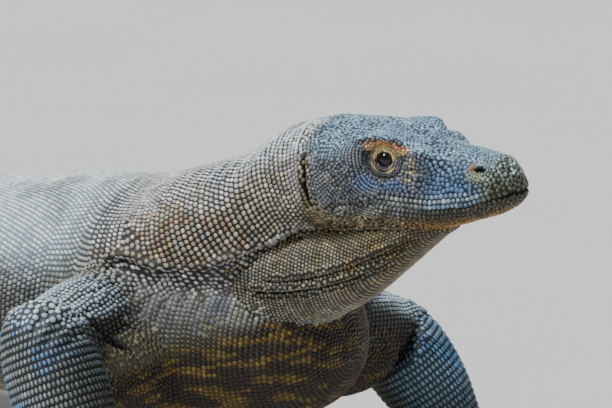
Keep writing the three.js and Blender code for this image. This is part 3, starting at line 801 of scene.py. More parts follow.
# Also in shares of the pitch: the least distance between scales of rows, and between scattered ones.
ROW_GAP, LOOSE_GAP = 0.74, 0.78
ROW_GIVE, ROW_ROOM = 0.35, 0.84  # how far a scale of a row gives way, and the share of its room it keeps
PUSH = 0.35  # share of the room it lacks by which a scale moves in a round
EYE_HEIGHT = 11  # of the rings of scales round the eye, outwards from its middle
# Rings round the eye and behind it: radius, pitch, and the degrees where each starts and ends.
EYE_RINGS = [(r, 2.15, 0, 360) for r in (9.1, 11.1, 13.1, 15.1, 17.1, 19.1)]
EYE_RINGS += [(r, 3.0, 104, 262) for r in np.arange(23.4, 64, 3.25)]
# Rows of plates along the lips: height above the line between the lips, and pitch.
LIP_ROWS = ((2.7, 4.3), (7.4, 4.5), (12.3, 4.6), (-2.7, 4.1), (-7.2, 4.1))


def leaning(table, y, turn):
    """A ring of a form, leaning back towards its top where the neck rises to the head."""
    ring = section(table, np.full(len(turn), float(y)), turn, -COAT)
    if table is not BODY:
        return ring
    for _ in range(3):
        lean = 0.42 * fall(-40, 90, ring[:, 1])
        ring = section(table, y + lean * (ring[:, 2] - 370), turn, -COAT)
    return ring


rows = []
turn = np.pi / 2 + turns(240)
for kind, table, start, stop in (
    (IN_BODY, BODY, HEAD_BACK, 2160), (IN_THROAT, THROAT, -292, -18), (IN_BREAST, BREAST, -166, 92),
):
    y, k = start, 0
    while y < stop:
        ring, next_ring = leaning(table, y, turn), leaning(table, y + 1, turn)
        # the pitch of a row is the one at its form's right side, a quarter turn on
        pitch = pitch_of(ring[[len(turn) // 4]], np.array([kind]))[0]
        rows.append(evenly(ring, pitch * IN_ROW, 0.5 * (k % 2)))
        y += pitch * ROW / np.median(np.linalg.norm(next_ring - ring, axis=1))
        k += 1
for limb, (side, joints, yaw, kind) in LIMBS.items():
    for part in (0, 1):
        girth = GIRTH[kind][part]
        bone = np.linalg.norm(np.subtract(joints[part + 1], joints[part]))
        pitch = pitch_of(np.zeros((1, 3)), np.array([IN_LIMB]))[0]
        shares = np.arange(girth[1, 0], girth[-2, 0], pitch * LIMB_ROW / bone)
        for k, ring in enumerate(bone_rings(joints[part], joints[part + 1], girth, shares, 80)):
            rows.append(evenly(ring, pitch * IN_LIMB_ROW, 0.5 * (k % 2)))

# On the head, rings of scales run round the eye and behind it, and rows of plates along the lips.
for side in (-1, 1):
    ahead, up, out = eye_axes(side)
    for k, (r, step, start, stop) in enumerate(EYE_RINGS):
        step = math.degrees(step / r)
        a = np.radians(np.arange(start, stop, step) + (k % 2) * step / 2)[:, None]
        rows.append(EYE * [side, 1, 1] + r * (ahead * np.cos(a) + up * np.sin(a)) + out * EYE_HEIGHT)
    for above, step in LIP_ROWS:
        line = [skin_tree.ray_cast((side * 90, y, np.interp(y, *MOUTH.T) + above), (-side, 0, 0))[0]
                for y in np.arange(-362 + abs(above) / 3, -222, step)]
        rows.append(np.array(line))
roots, _, off = on_skin(np.concatenate(rows))
roots = roots[off < 7]  # a row's place farther from the skin than this lies inside another form


def thinned(points, reach):
    """Keeps each point unless one before it stands nearer than its reach."""
    tree, keep = tree_of(points), np.ones(len(points), bool)
    for i, q in enumerate(points):
        if keep[i]:
            for _, j, _ in tree.find_range(q, reach[i]):
                if j > i:
                    keep[j] = False
    return keep


def bare(p):
    """Where no scale stands: over the eye, in the nostril, between the lips' tips, in the ear's slit."""
    x, y, z = p.T
    ahead, up, out, _ = eye_place(p)
    eye = (np.hypot(ahead / 8.6, up / 7.5) < 1) & (out > -12)
    nose = (np.hypot((y - NOSTRIL[0]) / 6.5, (z - NOSTRIL[1]) / 2.8) < 1) & (abs(x) > 12)
    lips = (y < -357) & (abs(above_lips(y, z)) < 2.4)
    d, s = offset_from(EAR, y, z)
    return eye | nose | lips | (abs(d) < 2.1) & (abs(x) > 40) & (s > 0.03) & (s < 0.97)


kind, _, _ = located(roots)
roots = roots[thinned(roots, ROW_GAP * pitch_of(roots, kind)) & ~bare(roots)]


def spread(points, rounds, give):
    """Moves points apart over the skin until they stand about a pitch from each other."""
    kind, _, _ = located(points)
    pitch = pitch_of(points, kind)
    for _ in range(rounds):
        tree = tree_of(points)
        near = np.array([[j for _, j, _ in tree.find_n(q, 7)][1:] for q in points])
        d = points[:, None] - points[near]
        gap = np.linalg.norm(d, axis=2)
        want = 0.5 * (pitch[:, None] + pitch[near]) * np.where(give < 1, ROW_ROOM, 1)[:, None]
        push = np.maximum(want - gap, 0) * PUSH
        move = (d / np.maximum(gap, 1e-6)[..., None] * push[..., None]).sum(1) * give[:, None]
        points, _, _ = on_skin(points + move)
    return points


# What the rows leave bare, and the rest of the head, fills up with scattered scales, twice over.
row_count = len(roots)
for rounds, least in ((4, 0.82), (4, 0.86)):
    spare = skin_points[random.permutation(len(skin_points))]
    spare = spare[~bare(spare)]
    reach = pitch_of(spare, located(spare)[0])
    tree = tree_of(roots)
    free = np.array([tree.find(q)[2] for q in spare]) > least * reach
    spare, reach = spare[free], reach[free]
    roots = np.concatenate([roots, spare[thinned(spare, LOOSE_GAP * reach)]])
    is_row = np.arange(len(roots)) < row_count
    roots = spread(roots, rounds, np.where(is_row, ROW_GIVE, 1.0))
is_row = is_row[~bare(roots)]
roots = roots[~bare(roots)]
roots, root_normals, _ = on_skin(roots)
kind, limb_of, stop = located(roots)
pitch = pitch_of(roots, kind)


# ---- markings, and painted light and shade
def lin(*percent):
    """Linear colour values from sRGB ones in percent."""
    c = np.array(percent, float) / 100
    return np.where(c > 0.04045, ((c + 0.055) / 1.055) ** 2.4, c / 12.92)


def off_bone(p):
    """The way out from the nearest bone of a limb to each place."""
    nearest, way = np.full(len(p), np.inf), np.zeros((len(p), 3))
    for _, joints, _, _ in LIMBS.values():
        for a, b in zip(np.array(joints[:-1], float), np.array(joints[1:], float)):
            share = np.clip((p - a) @ (b - a) / ((b - a) @ (b - a)), 0, 1)
            d = p - a - share[:, None] * (b - a)
            r = np.linalg.norm(d, axis=1)
            way = np.where((r < nearest)[:, None], d / np.maximum(r, 1e-6)[:, None], way)
            nearest = np.minimum(nearest, r)
    return way


def markings_and_painted_light(p, n, kind, stop):
    """Colours of the scales and of the skin between them, the same for the skin and the coat, with painted
    light and shade.

    Each paint lays two colours, in percent, over the ones before it: the scales' and the skin's.
    """
    x, y, z = p.T
    h = section_share(p)
    limb = (kind >= IN_LIMB) * smooth(0.2, 0.5, stop)
    body = 1 - limb
    head = body * fall(-181, -153, y) * (kind == IN_BODY)
    neck = smooth(-181, -153, y) * fall(10, 120, y)
    bead = np.tile(lin(52, 55, 56), (len(p), 1))
    gap = np.tile(lin(20, 21, 21), (len(p), 1))

    def spots(size, seed, low, high):
        return smooth(low, high, patchy(p, size, seed))

    def paint(weight, bead_colour, gap_colour=None):
        nonlocal bead, gap
        w = np.clip(weight, 0, 1)[:, None]
        bead = bead + (lin(*bead_colour) - bead) * w
        if gap_colour:
            gap = gap + (lin(*gap_colour) - gap) * w

    # trunk and tail: pale blue-grey above, partly painted sky sheen, duller below, browner towards the
    # tail's end
    trunk = smooth(10, 120, y)
    paint(trunk, (37, 38, 38), (17, 17, 17))
    # partly painted sky sheen: paler and bluer towards the top of the section
    paint(trunk * smooth(0.54, 0.9, h), (90, 98, 100), (52, 60, 64))
    paint(trunk * smooth(250, 520, y) * 0.65, (46, 46, 43), (20, 19, 17))
    paint(trunk * fall(0.1, 0.3, h), (46, 43, 36), (20, 18, 14))
    paint(trunk * smooth(700, 1500, y) * 0.75, (52, 51, 47), (22, 21, 18))
    paint(trunk * 0.45 * spots(45, 1, 0.5, 0.8), (48, 44, 39), (22, 19, 16))
    # neck: pale ridges with dark between them, and dark scales in a pale net on its side
    paint(neck, (64, 63, 61), (17, 16, 15))
    # paler and bluer along the top of the neck, partly painted sky light
    paint(neck * smooth(0.68, 0.86, h), (84, 87, 89), (20, 20, 20))
    fold, _ = offset_from(NECK_FOLD, y, z)
    netted = woven(p, kind)[2]
    paint(netted, (82, 79, 72), (15, 14, 13))
    paint(netted * 0.6 * spots(11, 2, 0.45, 0.7) * smooth(-120, -90, y), (78, 58, 40), (15, 10, 7))
    paint(netted * 0.5 * spots(7, 24, 0.5, 0.7), (70, 68, 48), (12, 12, 10))
    paint(neck * (1 - netted) * smooth(-60, 0, y) * 0.4 * spots(10, 25, 0.45, 0.65),
          (70, 59, 51), (24, 17, 14))
    below = neck * fall(-5, 1, fold) * (1 - 0.5 * spots(20, 7, 0.45, 0.7))
    paint(below, (66, 67, 66), (17, 17, 16))
    paint(neck * smooth(2, 4, fold) * fall(6, 9, fold) * (h > 0.3) * 0.7, (66, 65, 60), (30, 29, 26))
    # throat: rows of olive scales
    throat = body * ((kind == IN_THROAT) | (y < -150) & (z < 335)) * 1.0
    paint(throat, (47, 45, 36), (10, 9, 6))
    paint(throat * spots(14, 3, 0.4, 0.7) * 0.6, (55, 47, 28), (13, 10, 5))
    paint(throat * fall(-275, -225, y) * 0.6, (38, 33, 21), (9, 7, 4))
    paint(throat * smooth(-215, -190, y) * fall(300, 330, z) * 0.5, (58, 58, 54), (12, 12, 11))
    # shoulder and the side of the chest: a net again
    net = body * fall(60, 130, y) * smooth(-120, -70, y) * fall(240, 274, z) * (kind != IN_THROAT)
    paint(net * 0.95, (17, 18, 18), (58, 55, 45))
    paint(net * 0.9 * smooth(222, 256, z), (44, 46, 48), (30, 30, 30))
    paint(net * 0.7 * spots(18, 14, 0.5, 0.75), (22, 25, 30), (60, 63, 65))
    paint(net * fall(212, 250, z) * 0.8, (12, 12, 9), (56, 52, 34))
    # under the chest: dark brown, partly painted shade, with streaks of ochre
    chest = body * fall(60, 140, y) * (1 - chest_side(y, z)) * (kind != IN_THROAT) * (y > -172)
    paint(chest, (13, 10, 6), (20, 15, 8))
    streak = smooth(0.5, 0.66, patchy(p * [1, 0.45, 2.6], 15, 4))
    streaked = chest * (kind < IN_LIMB) * streak * (0.8 - 0.45 * smooth(-20, 60, x))
    paint(streaked * fall(150, 190, abs(z - 200)), (43, 35, 13), (37, 29, 10))
    # limbs: pale scales on dark skin, with painted shade on the inner sides, the undersides and the creases,
    # painted sky light on the tops, and bluer in front on the left arm, partly painted sky light
    out_x, out_y, out_z = (0.35 * n + 0.65 * off_bone(p)).T
    inner = -0.8 * np.sign(x) * out_x - 0.6 * out_y
    inner = np.where((x < 0) & (y < 150), smooth(-0.95, 0.3, inner), smooth(-0.45, 0.5, inner))
    paint(limb, (50, 54, 55), (13, 14, 13))
    # painted shade on the inner side of each limb
    paint(limb * inner * 0.92, (20, 22.5, 20), (5, 6, 4.5))
    front = smooth(-0.45, 0.35, -out_y)
    left_arm = limb * (x > 0) * (y < 150)
    # painted shade, olive, on the inner back of the left arm
    paint(left_arm * (1 - front) * inner * 0.8, (42, 39, 31), (9, 8, 6))
    # bluish front of the left arm, partly painted sky light
    far = left_arm * (0.25 + 0.75 * inner) * front * (1 - 0.5 * smooth(1.4, 1.8, stop))
    paint(far * (0.1 + 0.6 * smooth(0.8, 1.2, stop)), (50, 67, 77), (20, 25, 28))
    # more painted shade on the inner side of the upper limbs
    paint(limb * inner * fall(0.8, 1.1, stop) * 0.8, (24, 25, 20), (6, 6, 5))
    # painted shade on the lower faces of the left upper arm, under the head and neck
    under = (kind >= IN_LIMB) * (x > 0) * fall(0.75, 1.05, stop) * fall(0.1, 0.6, out_z) * (y < 150)
    paint(under * 0.85, (19, 18, 14), (7, 6.5, 5))
    # painted sky light on the upward faces of the limbs, less on the inner side below the elbows and knees
    paint(limb * smooth(0.3, 0.85, out_z) * (1 - 0.9 * inner * smooth(0.85, 1.15, stop)),
          (84, 93, 100), (26, 30, 33))
    blue = limb * (y < 150) * (1 - 0.8 * inner * (x < 0)) * spots(26, 9, 0.55, 0.8)
    paint(blue * smooth(0.9, 1.1, stop) * fall(1.8, 2.2, stop) * 0.85, (30, 50, 68), (8, 13, 18))
    # more of that painted sky light on its upward faces
    paint(far * 0.5 * smooth(0.8, 1.2, stop) * smooth(0.1, 0.6, out_z), (36, 58, 76))
    # painted shade on the downward faces of the limbs
    paint(limb * smooth(0.1, 0.8, -n[:, 2]) * 0.8, (30, 28, 23), (9, 8, 7))
    paint(limb * smooth(1.7, 2.3, stop) * 0.5, (40, 41, 40), (10, 10, 9))
    # painted shade in the creases of the elbows and knees
    for name in LIMBS:
        paint(crease(p, name)[1] * 0.85 * (z > 60), (12, 12, 11), (4, 4, 4))
    # head: grey, bluer on the snout and the crown, partly painted sky reflection, paler on its upward faces
    # as painted light, browner on the jaw, pale and mottled at the tip, the pale partly a painted highlight
    above = above_lips(y, z)
    side = smooth(0.25, 0.6, abs(n[:, 0]))
    rear = smooth(-300, -270, y)
    paint(head, (39, 41, 43), (10, 11, 12))
    # bluer on the snout and its sides, partly painted sky reflection
    paint(head * fall(-300, -275, y), (42, 55, 67), (11, 16, 23))
    paint(head * side * bump(above, 21, 7) * smooth(-345, -330, y) * fall(-228, -205, y),
          (32, 45, 62), (10, 15, 24))
    # painted sky light on the upward faces of the crown and snout
    paint(head * smooth(0.4, 0.85, n[:, 2]) * (z > 395), (56, 70, 79), (19, 27, 32))
    paint(head * fall(-12, -4, above) * rear, (36, 36, 34), (11, 11, 10))
    paint(head * 0.5 * spots(13, 15, 0.5, 0.75) * rear * (above < 30), (50, 46, 38), (14, 12, 10))
    jaw = head * fall(-15, -9, above) * rear
    paint(jaw * 0.8, (44, 38, 28), (13, 10, 7))
    paint(jaw * 0.6 * spots(6, 26, 0.5, 0.7), (62, 60, 46), (15, 13, 9))
    # pale at the snout's tip, partly a painted highlight
    tip = head * fall(-352, -338, y)
    paint(tip * 0.9, (66, 73, 70), (15, 17, 15))
    paint(tip * 0.75 * spots(6, 27, 0.5, 0.65), (26, 29, 26), (10, 11, 9))
    # olive at the snout's tip and on the lower lip, ochre under that
    paint(head * fall(-352, -325, y) * fall(396, 408, z), (33, 34, 26), (10, 11, 7))
    paint(head * fall(-2, 2, above) * fall(-290, -262, y), (27, 27, 22), (9, 9, 6))
    paint(head * bump(above, -19, 6) * fall(-290, -250, y), (60, 43, 17), (28, 19, 7))
    # pale beads above the lips in front, and below them at the back
    paint(head * bump(above, 7, 4) * fall(-262, -240, y) * smooth(-352, -335, y)
          * (0.25 + 0.6 * spots(7, 30, 0.4, 0.6)), (68, 74, 74), (14, 17, 18))
    paint(head * side * bump(above, -7, 6) * smooth(-275, -240, y) * fall(-205, -180, y) * 0.6
          * spots(9, 16, 0.4, 0.6), (66, 70, 64), (16, 17, 15))
    # round the ear: yellowish scales, and painted shade on the bare skin of its slit
    d, s = offset_from(EAR, y, z)
    outside = abs(x) > 40
    paint(outside * bump(d, 0, 6) * ends(s, 0.1) * body * 0.9, (62, 57, 36), (6, 5, 4))
    foot = np.exp(-(((y + 181) / 15) ** 2 + ((z - 354) / 11) ** 2)) * outside * body
    paint(foot * 0.8, (62, 56, 40), (22, 19, 12))
    # round the eye
    a, b, c, axis = eye_place(p)
    r = np.hypot(a, b)
    orbit = (c > -14) * body * smooth(0.15, 0.45, (n * axis).sum(1))
    paint(orbit * fall(18, 23, r) * (b < 9), (36, 35, 37), (10, 10, 10))
    dots, over = 0.35 + 0.65 * spots(3.5, 17, 0.35, 0.55), b - shelf(a)
    paint(orbit * smooth(-19, -16, a) * fall(23, 29, a) * smooth(7, 9, b) * fall(-3, -1, over) * dots,
          (80, 68, 46), (50, 38, 22))
    paint(orbit * smooth(-20, -17, a) * fall(24, 29, a) * bump(over, -4.5, 2.2) * (0.3 + 0.7 * dots)
          * smooth(0.3, 0.6, abs(n[:, 0])), (76, 47, 27), (46, 24, 12))
    upper = smooth(7.4, 8.4, r) * fall(11.5, 13.5, r) * smooth(-2, 2.5, b)
    corner = bump(b - 8 - 0.1 * (a - 15), 0, 2.6) * smooth(8, 12, a) * fall(19, 24, a)
    paint(orbit * np.maximum(upper, corner), (92, 84, 62), (74, 63, 43))
    lower = bump(r, 12.3, 1.7) * fall(-3, 0, b) * np.maximum(bump(a, -9.5, 3), bump(a, 7, 3.5))
    paint(orbit * lower, (85, 77, 54), (60, 50, 34))
    paint(orbit * fall(0.98, 1.1, np.hypot(a / 7.8, b / 6.8)), (18, 12, 9), (10, 7, 5))
    cream = bump(a - 29 - 0.12 * b, 0, 5) * smooth(-26, -21, b) * fall(3, 8, b) * side
    paint(orbit * cream * spots(3.2, 18, 0.42, 0.5), (80, 76, 58), (16, 15, 12))
    # the nostril: painted shade inside, with a pale rim below it and an orange spot behind
    a, b, outside = NOSTRIL[0] - y, z - NOSTRIL[1], abs(x) > 12
    rim = np.exp(-((a + 2) / 9) ** 2 - ((b + 6) / 6.5) ** 2)
    paint(head * rim * outside, (60, 64, 50), (34, 37, 26))
    spot = np.exp(-((a + 7) / 3.5) ** 2 - ((b - 1) / 3.5) ** 2)
    paint(head * spot * outside, (66, 46, 20), (50, 33, 12))
    slit = np.hypot(a / 6.6, (b - 0.12 * a) / 2.6)
    paint(head * fall(0.75, 1.15, slit) * outside, (3, 3, 2), (3, 3, 2))
    return bead, gap


# ---- the coat
RIDGE_SLANT = math.radians(25)  # how far the neck's ridges lean from the lie of the other scales


def unit(v):
    """Vectors, as rows, at a length of 1."""
    return v / np.maximum(np.linalg.norm(v, axis=1), 1e-6)[:, None]


def lie(points, n, kind, limb_of, stop):
    """The way each scale points: towards the tail, or down the limb."""
    way = np.tile([0.0, 1.0, 0.0], (len(points), 1))
    for i, (side, joints, yaw, _) in enumerate(LIMBS.values()):
        a, b, c = (np.array(j, float) for j in joints)
        ahead = paw_axes(side, yaw)[0]
        here = limb_of == i
        for low, high, v in ((-9, 1, b - a), (1, 2.1, c - b), (2.1, 9, ahead)):
            way[here & (stop >= low) & (stop < high)] = v / np.linalg.norm(v)
    way = unit(way - n * (way * n).sum(1)[:, None])
    # on the neck they turn up, in line with the slanting ridges there; behind the eye, round it
    rise = np.array([0, 0, 1.0]) - n * n[:, 2:]
    rise -= way * (rise * way).sum(1)[:, None]
    rise /= np.maximum(np.linalg.norm(rise, axis=1), 0.2)[:, None]
    turn = RIDGE_SLANT * woven(points, kind)[0][:, None]
    way = way * np.cos(turn) + rise * np.sin(turn)
    ahead, up, out, _ = eye_place(points)
    forward, upward, _ = eye_axes(np.where(points[:, 0] < 0, -1.0, 1.0))
    round_eye = upward * ahead[:, None] - forward * up[:, None]
    temple = ((kind == IN_BODY) & (ahead < -6) & (out > -30) & (np.hypot(ahead, up) < 66))[:, None]
    way = np.where(temple, round_eye, way)
    return unit(way - n * (way * n).sum(1)[:, None])


def mesh_from_arrays(name, points, loops, sizes):
    """A mesh, from the points of each face in turn and the faces' sizes."""
    mesh = bpy.data.meshes.new(name)
    mesh.vertices.add(len(points))
    mesh.vertices.foreach_set("co", np.asarray(points, np.float32).ravel())
    mesh.loops.add(len(loops))
    mesh.loops.foreach_set("vertex_index", np.asarray(loops, np.int32))
    mesh.polygons.add(len(sizes))
    mesh.polygons.foreach_set("loop_start", np.concatenate([[0], np.cumsum(sizes)[:-1]]).astype(np.int32))
    mesh.update(calc_edges=True)
    return mesh


def finished(mesh, colours, surface):
    """An object of a mesh, smooth-shaded, with its material and a colour at each point for that to read."""
    mesh.polygons.foreach_set("use_smooth", np.ones(len(mesh.polygons), bool))
    layer = mesh.attributes.new("tint", "FLOAT_COLOR", "POINT")
    values = np.column_stack([colours, np.ones(len(colours))])
    layer.data.foreach_set("color", values.astype(np.float32).ravel())
    mesh.materials.append(surface)
    return object_of(mesh)


SIDES = 6
around = 2 * np.pi * (np.arange(SIDES) + 0.5) / SIDES
# A scale's faces: a skirt of quads, a fan on top and a flat underside, over 6 + 6 + 1 points.
FACES = [[k, (k + 1) % SIDES, SIDES + (k + 1) % SIDES, SIDES + k] for k in range(SIDES)]
FACES += [[SIDES + k, SIDES + (k + 1) % SIDES, 2 * SIDES] for k in range(SIDES)]
FACES += [[SIDES - 1 - k for k in range(SIDES)]]
LOOPS = np.concatenate(FACES)
SIZES = np.array([len(f) for f in FACES])
PATCH = 0.0015  # half the width of a scale's patch on the OFBake map


def scale_points(at, n, way, length, width, height, top):
    """The 13 points of each scale, a low dome that stands a little higher towards its back edge."""
    across = np.cross(n, way)
    top = top[:, None]
    one = np.ones((len(at), 1))
    # foot, top and tip: places in half-lengths and half-widths, and heights as shares of the scale's
    rings = [(np.cos(around) * one, np.sin(around) * one, -0.2 * np.ones((len(at), SIDES))),
             (np.cos(around) * top + 0.05, np.sin(around) * top, (0.70 + 0.18 * np.cos(around)) * one),
             (0.05 * one, 0 * one, one)]
    parts = []
    for c, s, up in rings:
        parts.append(at[:, None] + way[:, None] * (c * length[:, None] / 2)[..., None]
                     + across[:, None] * (s * width[:, None] / 2)[..., None]
                     + n[:, None] * (up * height[:, None])[..., None])
    return np.concatenate(parts, 1)


def coat_piece(name, take, order_a, order_b):
    """One piece of the coat: the scales of take, with their patches laid out by two places on the skin."""
    count = len(take)
    traits = (roots, root_normals, ways, lengths, widths, heights, tops)
    points = scale_points(*(trait[take] for trait in traits))
    points[..., 2] = np.maximum(points[..., 2], LOWEST_SCALE)
    loops = (np.arange(count)[:, None] * (2 * SIDES + 1) + LOOPS).ravel()
    mesh = mesh_from_arrays(name, points.reshape(-1, 3) * MM + SHIFT, loops, np.tile(SIZES, count))
    # the tint of a scale is full on top and fades to the skin's at its foot, partly painted shade down its
    # sides; in the net its back half is dark too, painted shade as on tilted scales
    share = np.tile(np.concatenate([np.full(SIDES, 0.0), np.full(SIDES, 0.85), [1.0]]), (count, 1))
    shaded_back = np.concatenate([np.full(SIDES, 0.0), np.clip(np.cos(around) + 0.3, 0, 1), [0.3]])
    share = (share * (1 - shaded_back * net[take][:, None]))[..., None]
    colours = gaps[take][:, None] * (1 - share) + beads[take][:, None] * share
    piece = finished(mesh, colours.reshape(-1, 3), scale_material)
    # The unwrap: the skin's own length one way and the way round it the other, evened out so that
    # each scale has a cell of its own.
    bands = math.ceil(math.sqrt(count))
    centre = np.zeros((count, 2))
    for k, group in enumerate(np.array_split(np.argsort(order_a[take], kind="stable"), bands)):
        row = group[np.argsort(order_b[take][group], kind="stable")]
        centre[row, 0] = (k + 0.5) / bands
        centre[row, 1] = (np.arange(len(row)) + 0.5) / len(row)
    hexagon = np.column_stack([np.cos(around), np.sin(around)])
    local = np.concatenate([hexagon, 0.8 * hexagon, [[0, 0]]])[LOOPS]
    local[-SIDES:] = local[-SIDES:] * 0.3 + [1.7, 0]  # the underside, small and beside the rest
    uv = centre[:, None] + PATCH * local
    mesh.uv_layers.new(name="OFBake").data.foreach_set("uv", uv.astype(np.float32).ravel())
    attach(piece, "root")


# ---- materials
def material(name, build):
    """A material whose nodes build adds, given the shader and two functions that make and link nodes."""
    made = bpy.data.materials.new(name)
    made.use_nodes = True
    nodes, links = made.node_tree.nodes, made.node_tree.links
    shader = nodes["Principled BSDF"]

    def node(kind, **settings):
        n = nodes.new(kind)
        for key, value in settings.items():
            if hasattr(n, key):
                setattr(n, key, value)
            else:
                n.inputs[key].default_value = value
        return n

    def link(source, output, target, socket):
        links.new(source.outputs[output], target.inputs[socket])

    build(shader, node, link)
    return made


NOISE_SPAN = {"From Min": 0.3, "From Max": 0.7}  # where nearly all of a noise's values lie


def tinted_surface(low, high, smoothest, roughest, noise_scale, bump_strength, bump_distance):
    """The tint of the mesh, varied finely, with uneven roughness and a fine bump."""
    def build(shader, node, link):
        tint = node("ShaderNodeAttribute", attribute_name="tint")
        place = node("ShaderNodeNewGeometry")
        noise = node("ShaderNodeTexNoise", Scale=noise_scale, Detail=4.0, Roughness=0.6)
        link(place, "Position", noise, "Vector")
        value = node("ShaderNodeMapRange", **NOISE_SPAN, **{"To Min": low, "To Max": high})
        link(noise, "Fac", value, "Value")
        tone = node("ShaderNodeHueSaturation")
        link(tint, "Color", tone, "Color")
        link(value, "Result", tone, "Value")
        link(tone, "Color", shader, "Base Color")
        uneven = node("ShaderNodeMapRange", **NOISE_SPAN, **{"To Min": smoothest, "To Max": roughest})
        link(noise, "Fac", uneven, "Value")
        link(uneven, "Result", shader, "Roughness")
        grain = node("ShaderNodeTexNoise", Scale=noise_scale * 3, Detail=3.0)
        link(place, "Position", grain, "Vector")
        rise = node("ShaderNodeBump", Strength=bump_strength, Distance=bump_distance)
        link(grain, "Fac", rise, "Height")
        link(rise, "Normal", shader, "Normal")
    return build


skin_material = material("skin", tinted_surface(0.75, 1.2, 0.52, 0.74, 350, 0.4, 0.0006))
scale_material = material("scales", tinted_surface(0.8, 1.18, 0.33, 0.55, 500, 0.25, 0.0003))
eye_material = material("eyes", tinted_surface(0.85, 1.15, 0.03, 0.07, 900, 0.02, 0.0001))
claw_material = material("claws", tinted_surface(0.8, 1.2, 0.25, 0.42, 260, 0.25, 0.0003))

# ---- make the coat
ways = lie(roots, root_normals, kind, limb_of, stop)
tree = tree_of(roots)
# the mean distance to the two nearest scales, and to the four nearest
near = np.array([[d for _, _, d in tree.find_n(q, 5)][1:] for q in roots])
nearest, near = near[:, :2].mean(1), near.mean(1)
slant, upright, net = woven(roots, kind)
on_head = (kind == IN_BODY) & (roots[:, 1] < HEAD_BACK)
cells = celled(roots, kind)


def by_kind(head, *rest):
    """A value for each scale: on the head, and on each kind of form."""
    return np.where(on_head, head, np.choose(kind, rest))


# A scale fills the room up to its neighbours, more or less closely by where it stands.
on_limb = kind == IN_LIMB
fill = by_kind(1.1, 1.06, 1.0, 1.1, 0.96, 1.0, 1.0) * (1 - 0.06 * net) * (1 + 0.03 * cells)
widths = np.clip(near, 0.7 * pitch, 1.12 * pitch) * fill
widths = np.where(is_row & on_limb, np.clip(nearest, IN_LIMB_ROW * pitch, 1.1 * pitch), widths)
in_row = np.clip(pitch * np.where(on_limb, LIMB_ROW, ROW) * fill, 0, near * 1.35)
lengths = np.where(is_row, in_row, widths)
# Scales in the slanting ridges are long and narrow, and in the upright ones slightly shorter and wider.
lengths = lengths + (1.3 * pitch - lengths) * slant - 0.14 * lengths * upright
widths = widths + (0.70 * pitch - widths) * slant + 0.10 * widths * upright
# Scales that stand apart on a limb grow to fill the gaps.
loose = on_limb & (near > 1.08 * pitch)
widths, lengths = np.where(loose, 1.06 * near, widths), np.where(loose, 1.12 * near, lengths)
# Those in the rings behind the eye are longer and narrower.
behind_eye = on_head & is_row & (roots[:, 1] > EYE[1] + 6)
lengths = np.where(behind_eye, lengths * 1.1, lengths)
widths = np.where(behind_eye, widths * 0.88, widths)
# Sizes vary a little everywhere, and more on the head.
uneven = np.exp(random.normal(0, 1, (2, len(roots))) * np.where(on_head, 0.12, 0.07))
lengths, widths = lengths * uneven[0], widths * uneven[1]
heights = widths * by_kind(0.22, 0.32, 0.30, 0.27, 0.34, 0.26, 0.26) * (1 - 0.15 * cells)
tops = by_kind(0.84, 0.78, 0.78, 0.88, 0.70, 0.78, 0.78)  # half-width of the top, as a share of the foot's
beads, gaps = markings_and_painted_light(roots, root_normals, kind, stop)
# Every scale differs a little in tone, and some are tan, bluish or pale.
shade = np.exp(random.normal(0, 0.24, len(roots)) + 0.7 * (patchy(roots, 8, 21) - 0.5))
shade = np.where(on_limb, shade ** 0.6, shade)[:, None]
odd = random.random(len(roots))[:, None]
# shares of the scales between which a cast lies, and the cast
CASTS = ((0.0, 0.09, (1.3, 1.0, 0.72)), (0.09, 0.20, (0.80, 0.98, 1.22)), (0.20, 0.26, (1.4, 1.36, 1.25)))
for low, high, cast in CASTS:
    cast = 1 + (np.array(cast) - 1) * np.where(kind == IN_THROAT, 0.6, 0.4)[:, None]
    shade = np.where((odd >= low) & (odd < high), shade * cast, shade)
beads = np.clip(beads * shade, 0, 1)

here = along(BODY, roots[:, 1])
middle = here[:, MIDLINE]
angle = np.arctan2(roots[:, 2] - here[:, LEVEL], abs(roots[:, 0] - middle))
MOST = 8800  # scales in one piece
for side_name, on_side in (("right", roots[:, 0] < middle), ("left", roots[:, 0] >= middle)):
    trunk = np.where(on_side & (kind < IN_LIMB))[0]
    trunk = trunk[np.argsort(-angle[trunk], kind="stable")]
    groups = np.array_split(trunk, math.ceil(len(trunk) / MOST))
    for i, take in enumerate(groups):
        coat_piece(f"scales_{side_name}_{i + 1}", take, roots[:, 1], angle)
for side_name, two in (("right", (0, 2)), ("left", (1, 3))):
    take = np.where(np.isin(limb_of, two) & (kind >= IN_LIMB))[0]
    first = np.array([joints[0] for _, joints, _, _ in LIMBS.values()], float)[limb_of[take]]
    round_limb = np.zeros(len(roots))
    round_limb[take] = np.arctan2(*(roots[take] - first)[:, 1:].T)
    coat_piece(f"scales_{side_name}_limbs", take, stop + 10 * (limb_of > 1), round_limb)


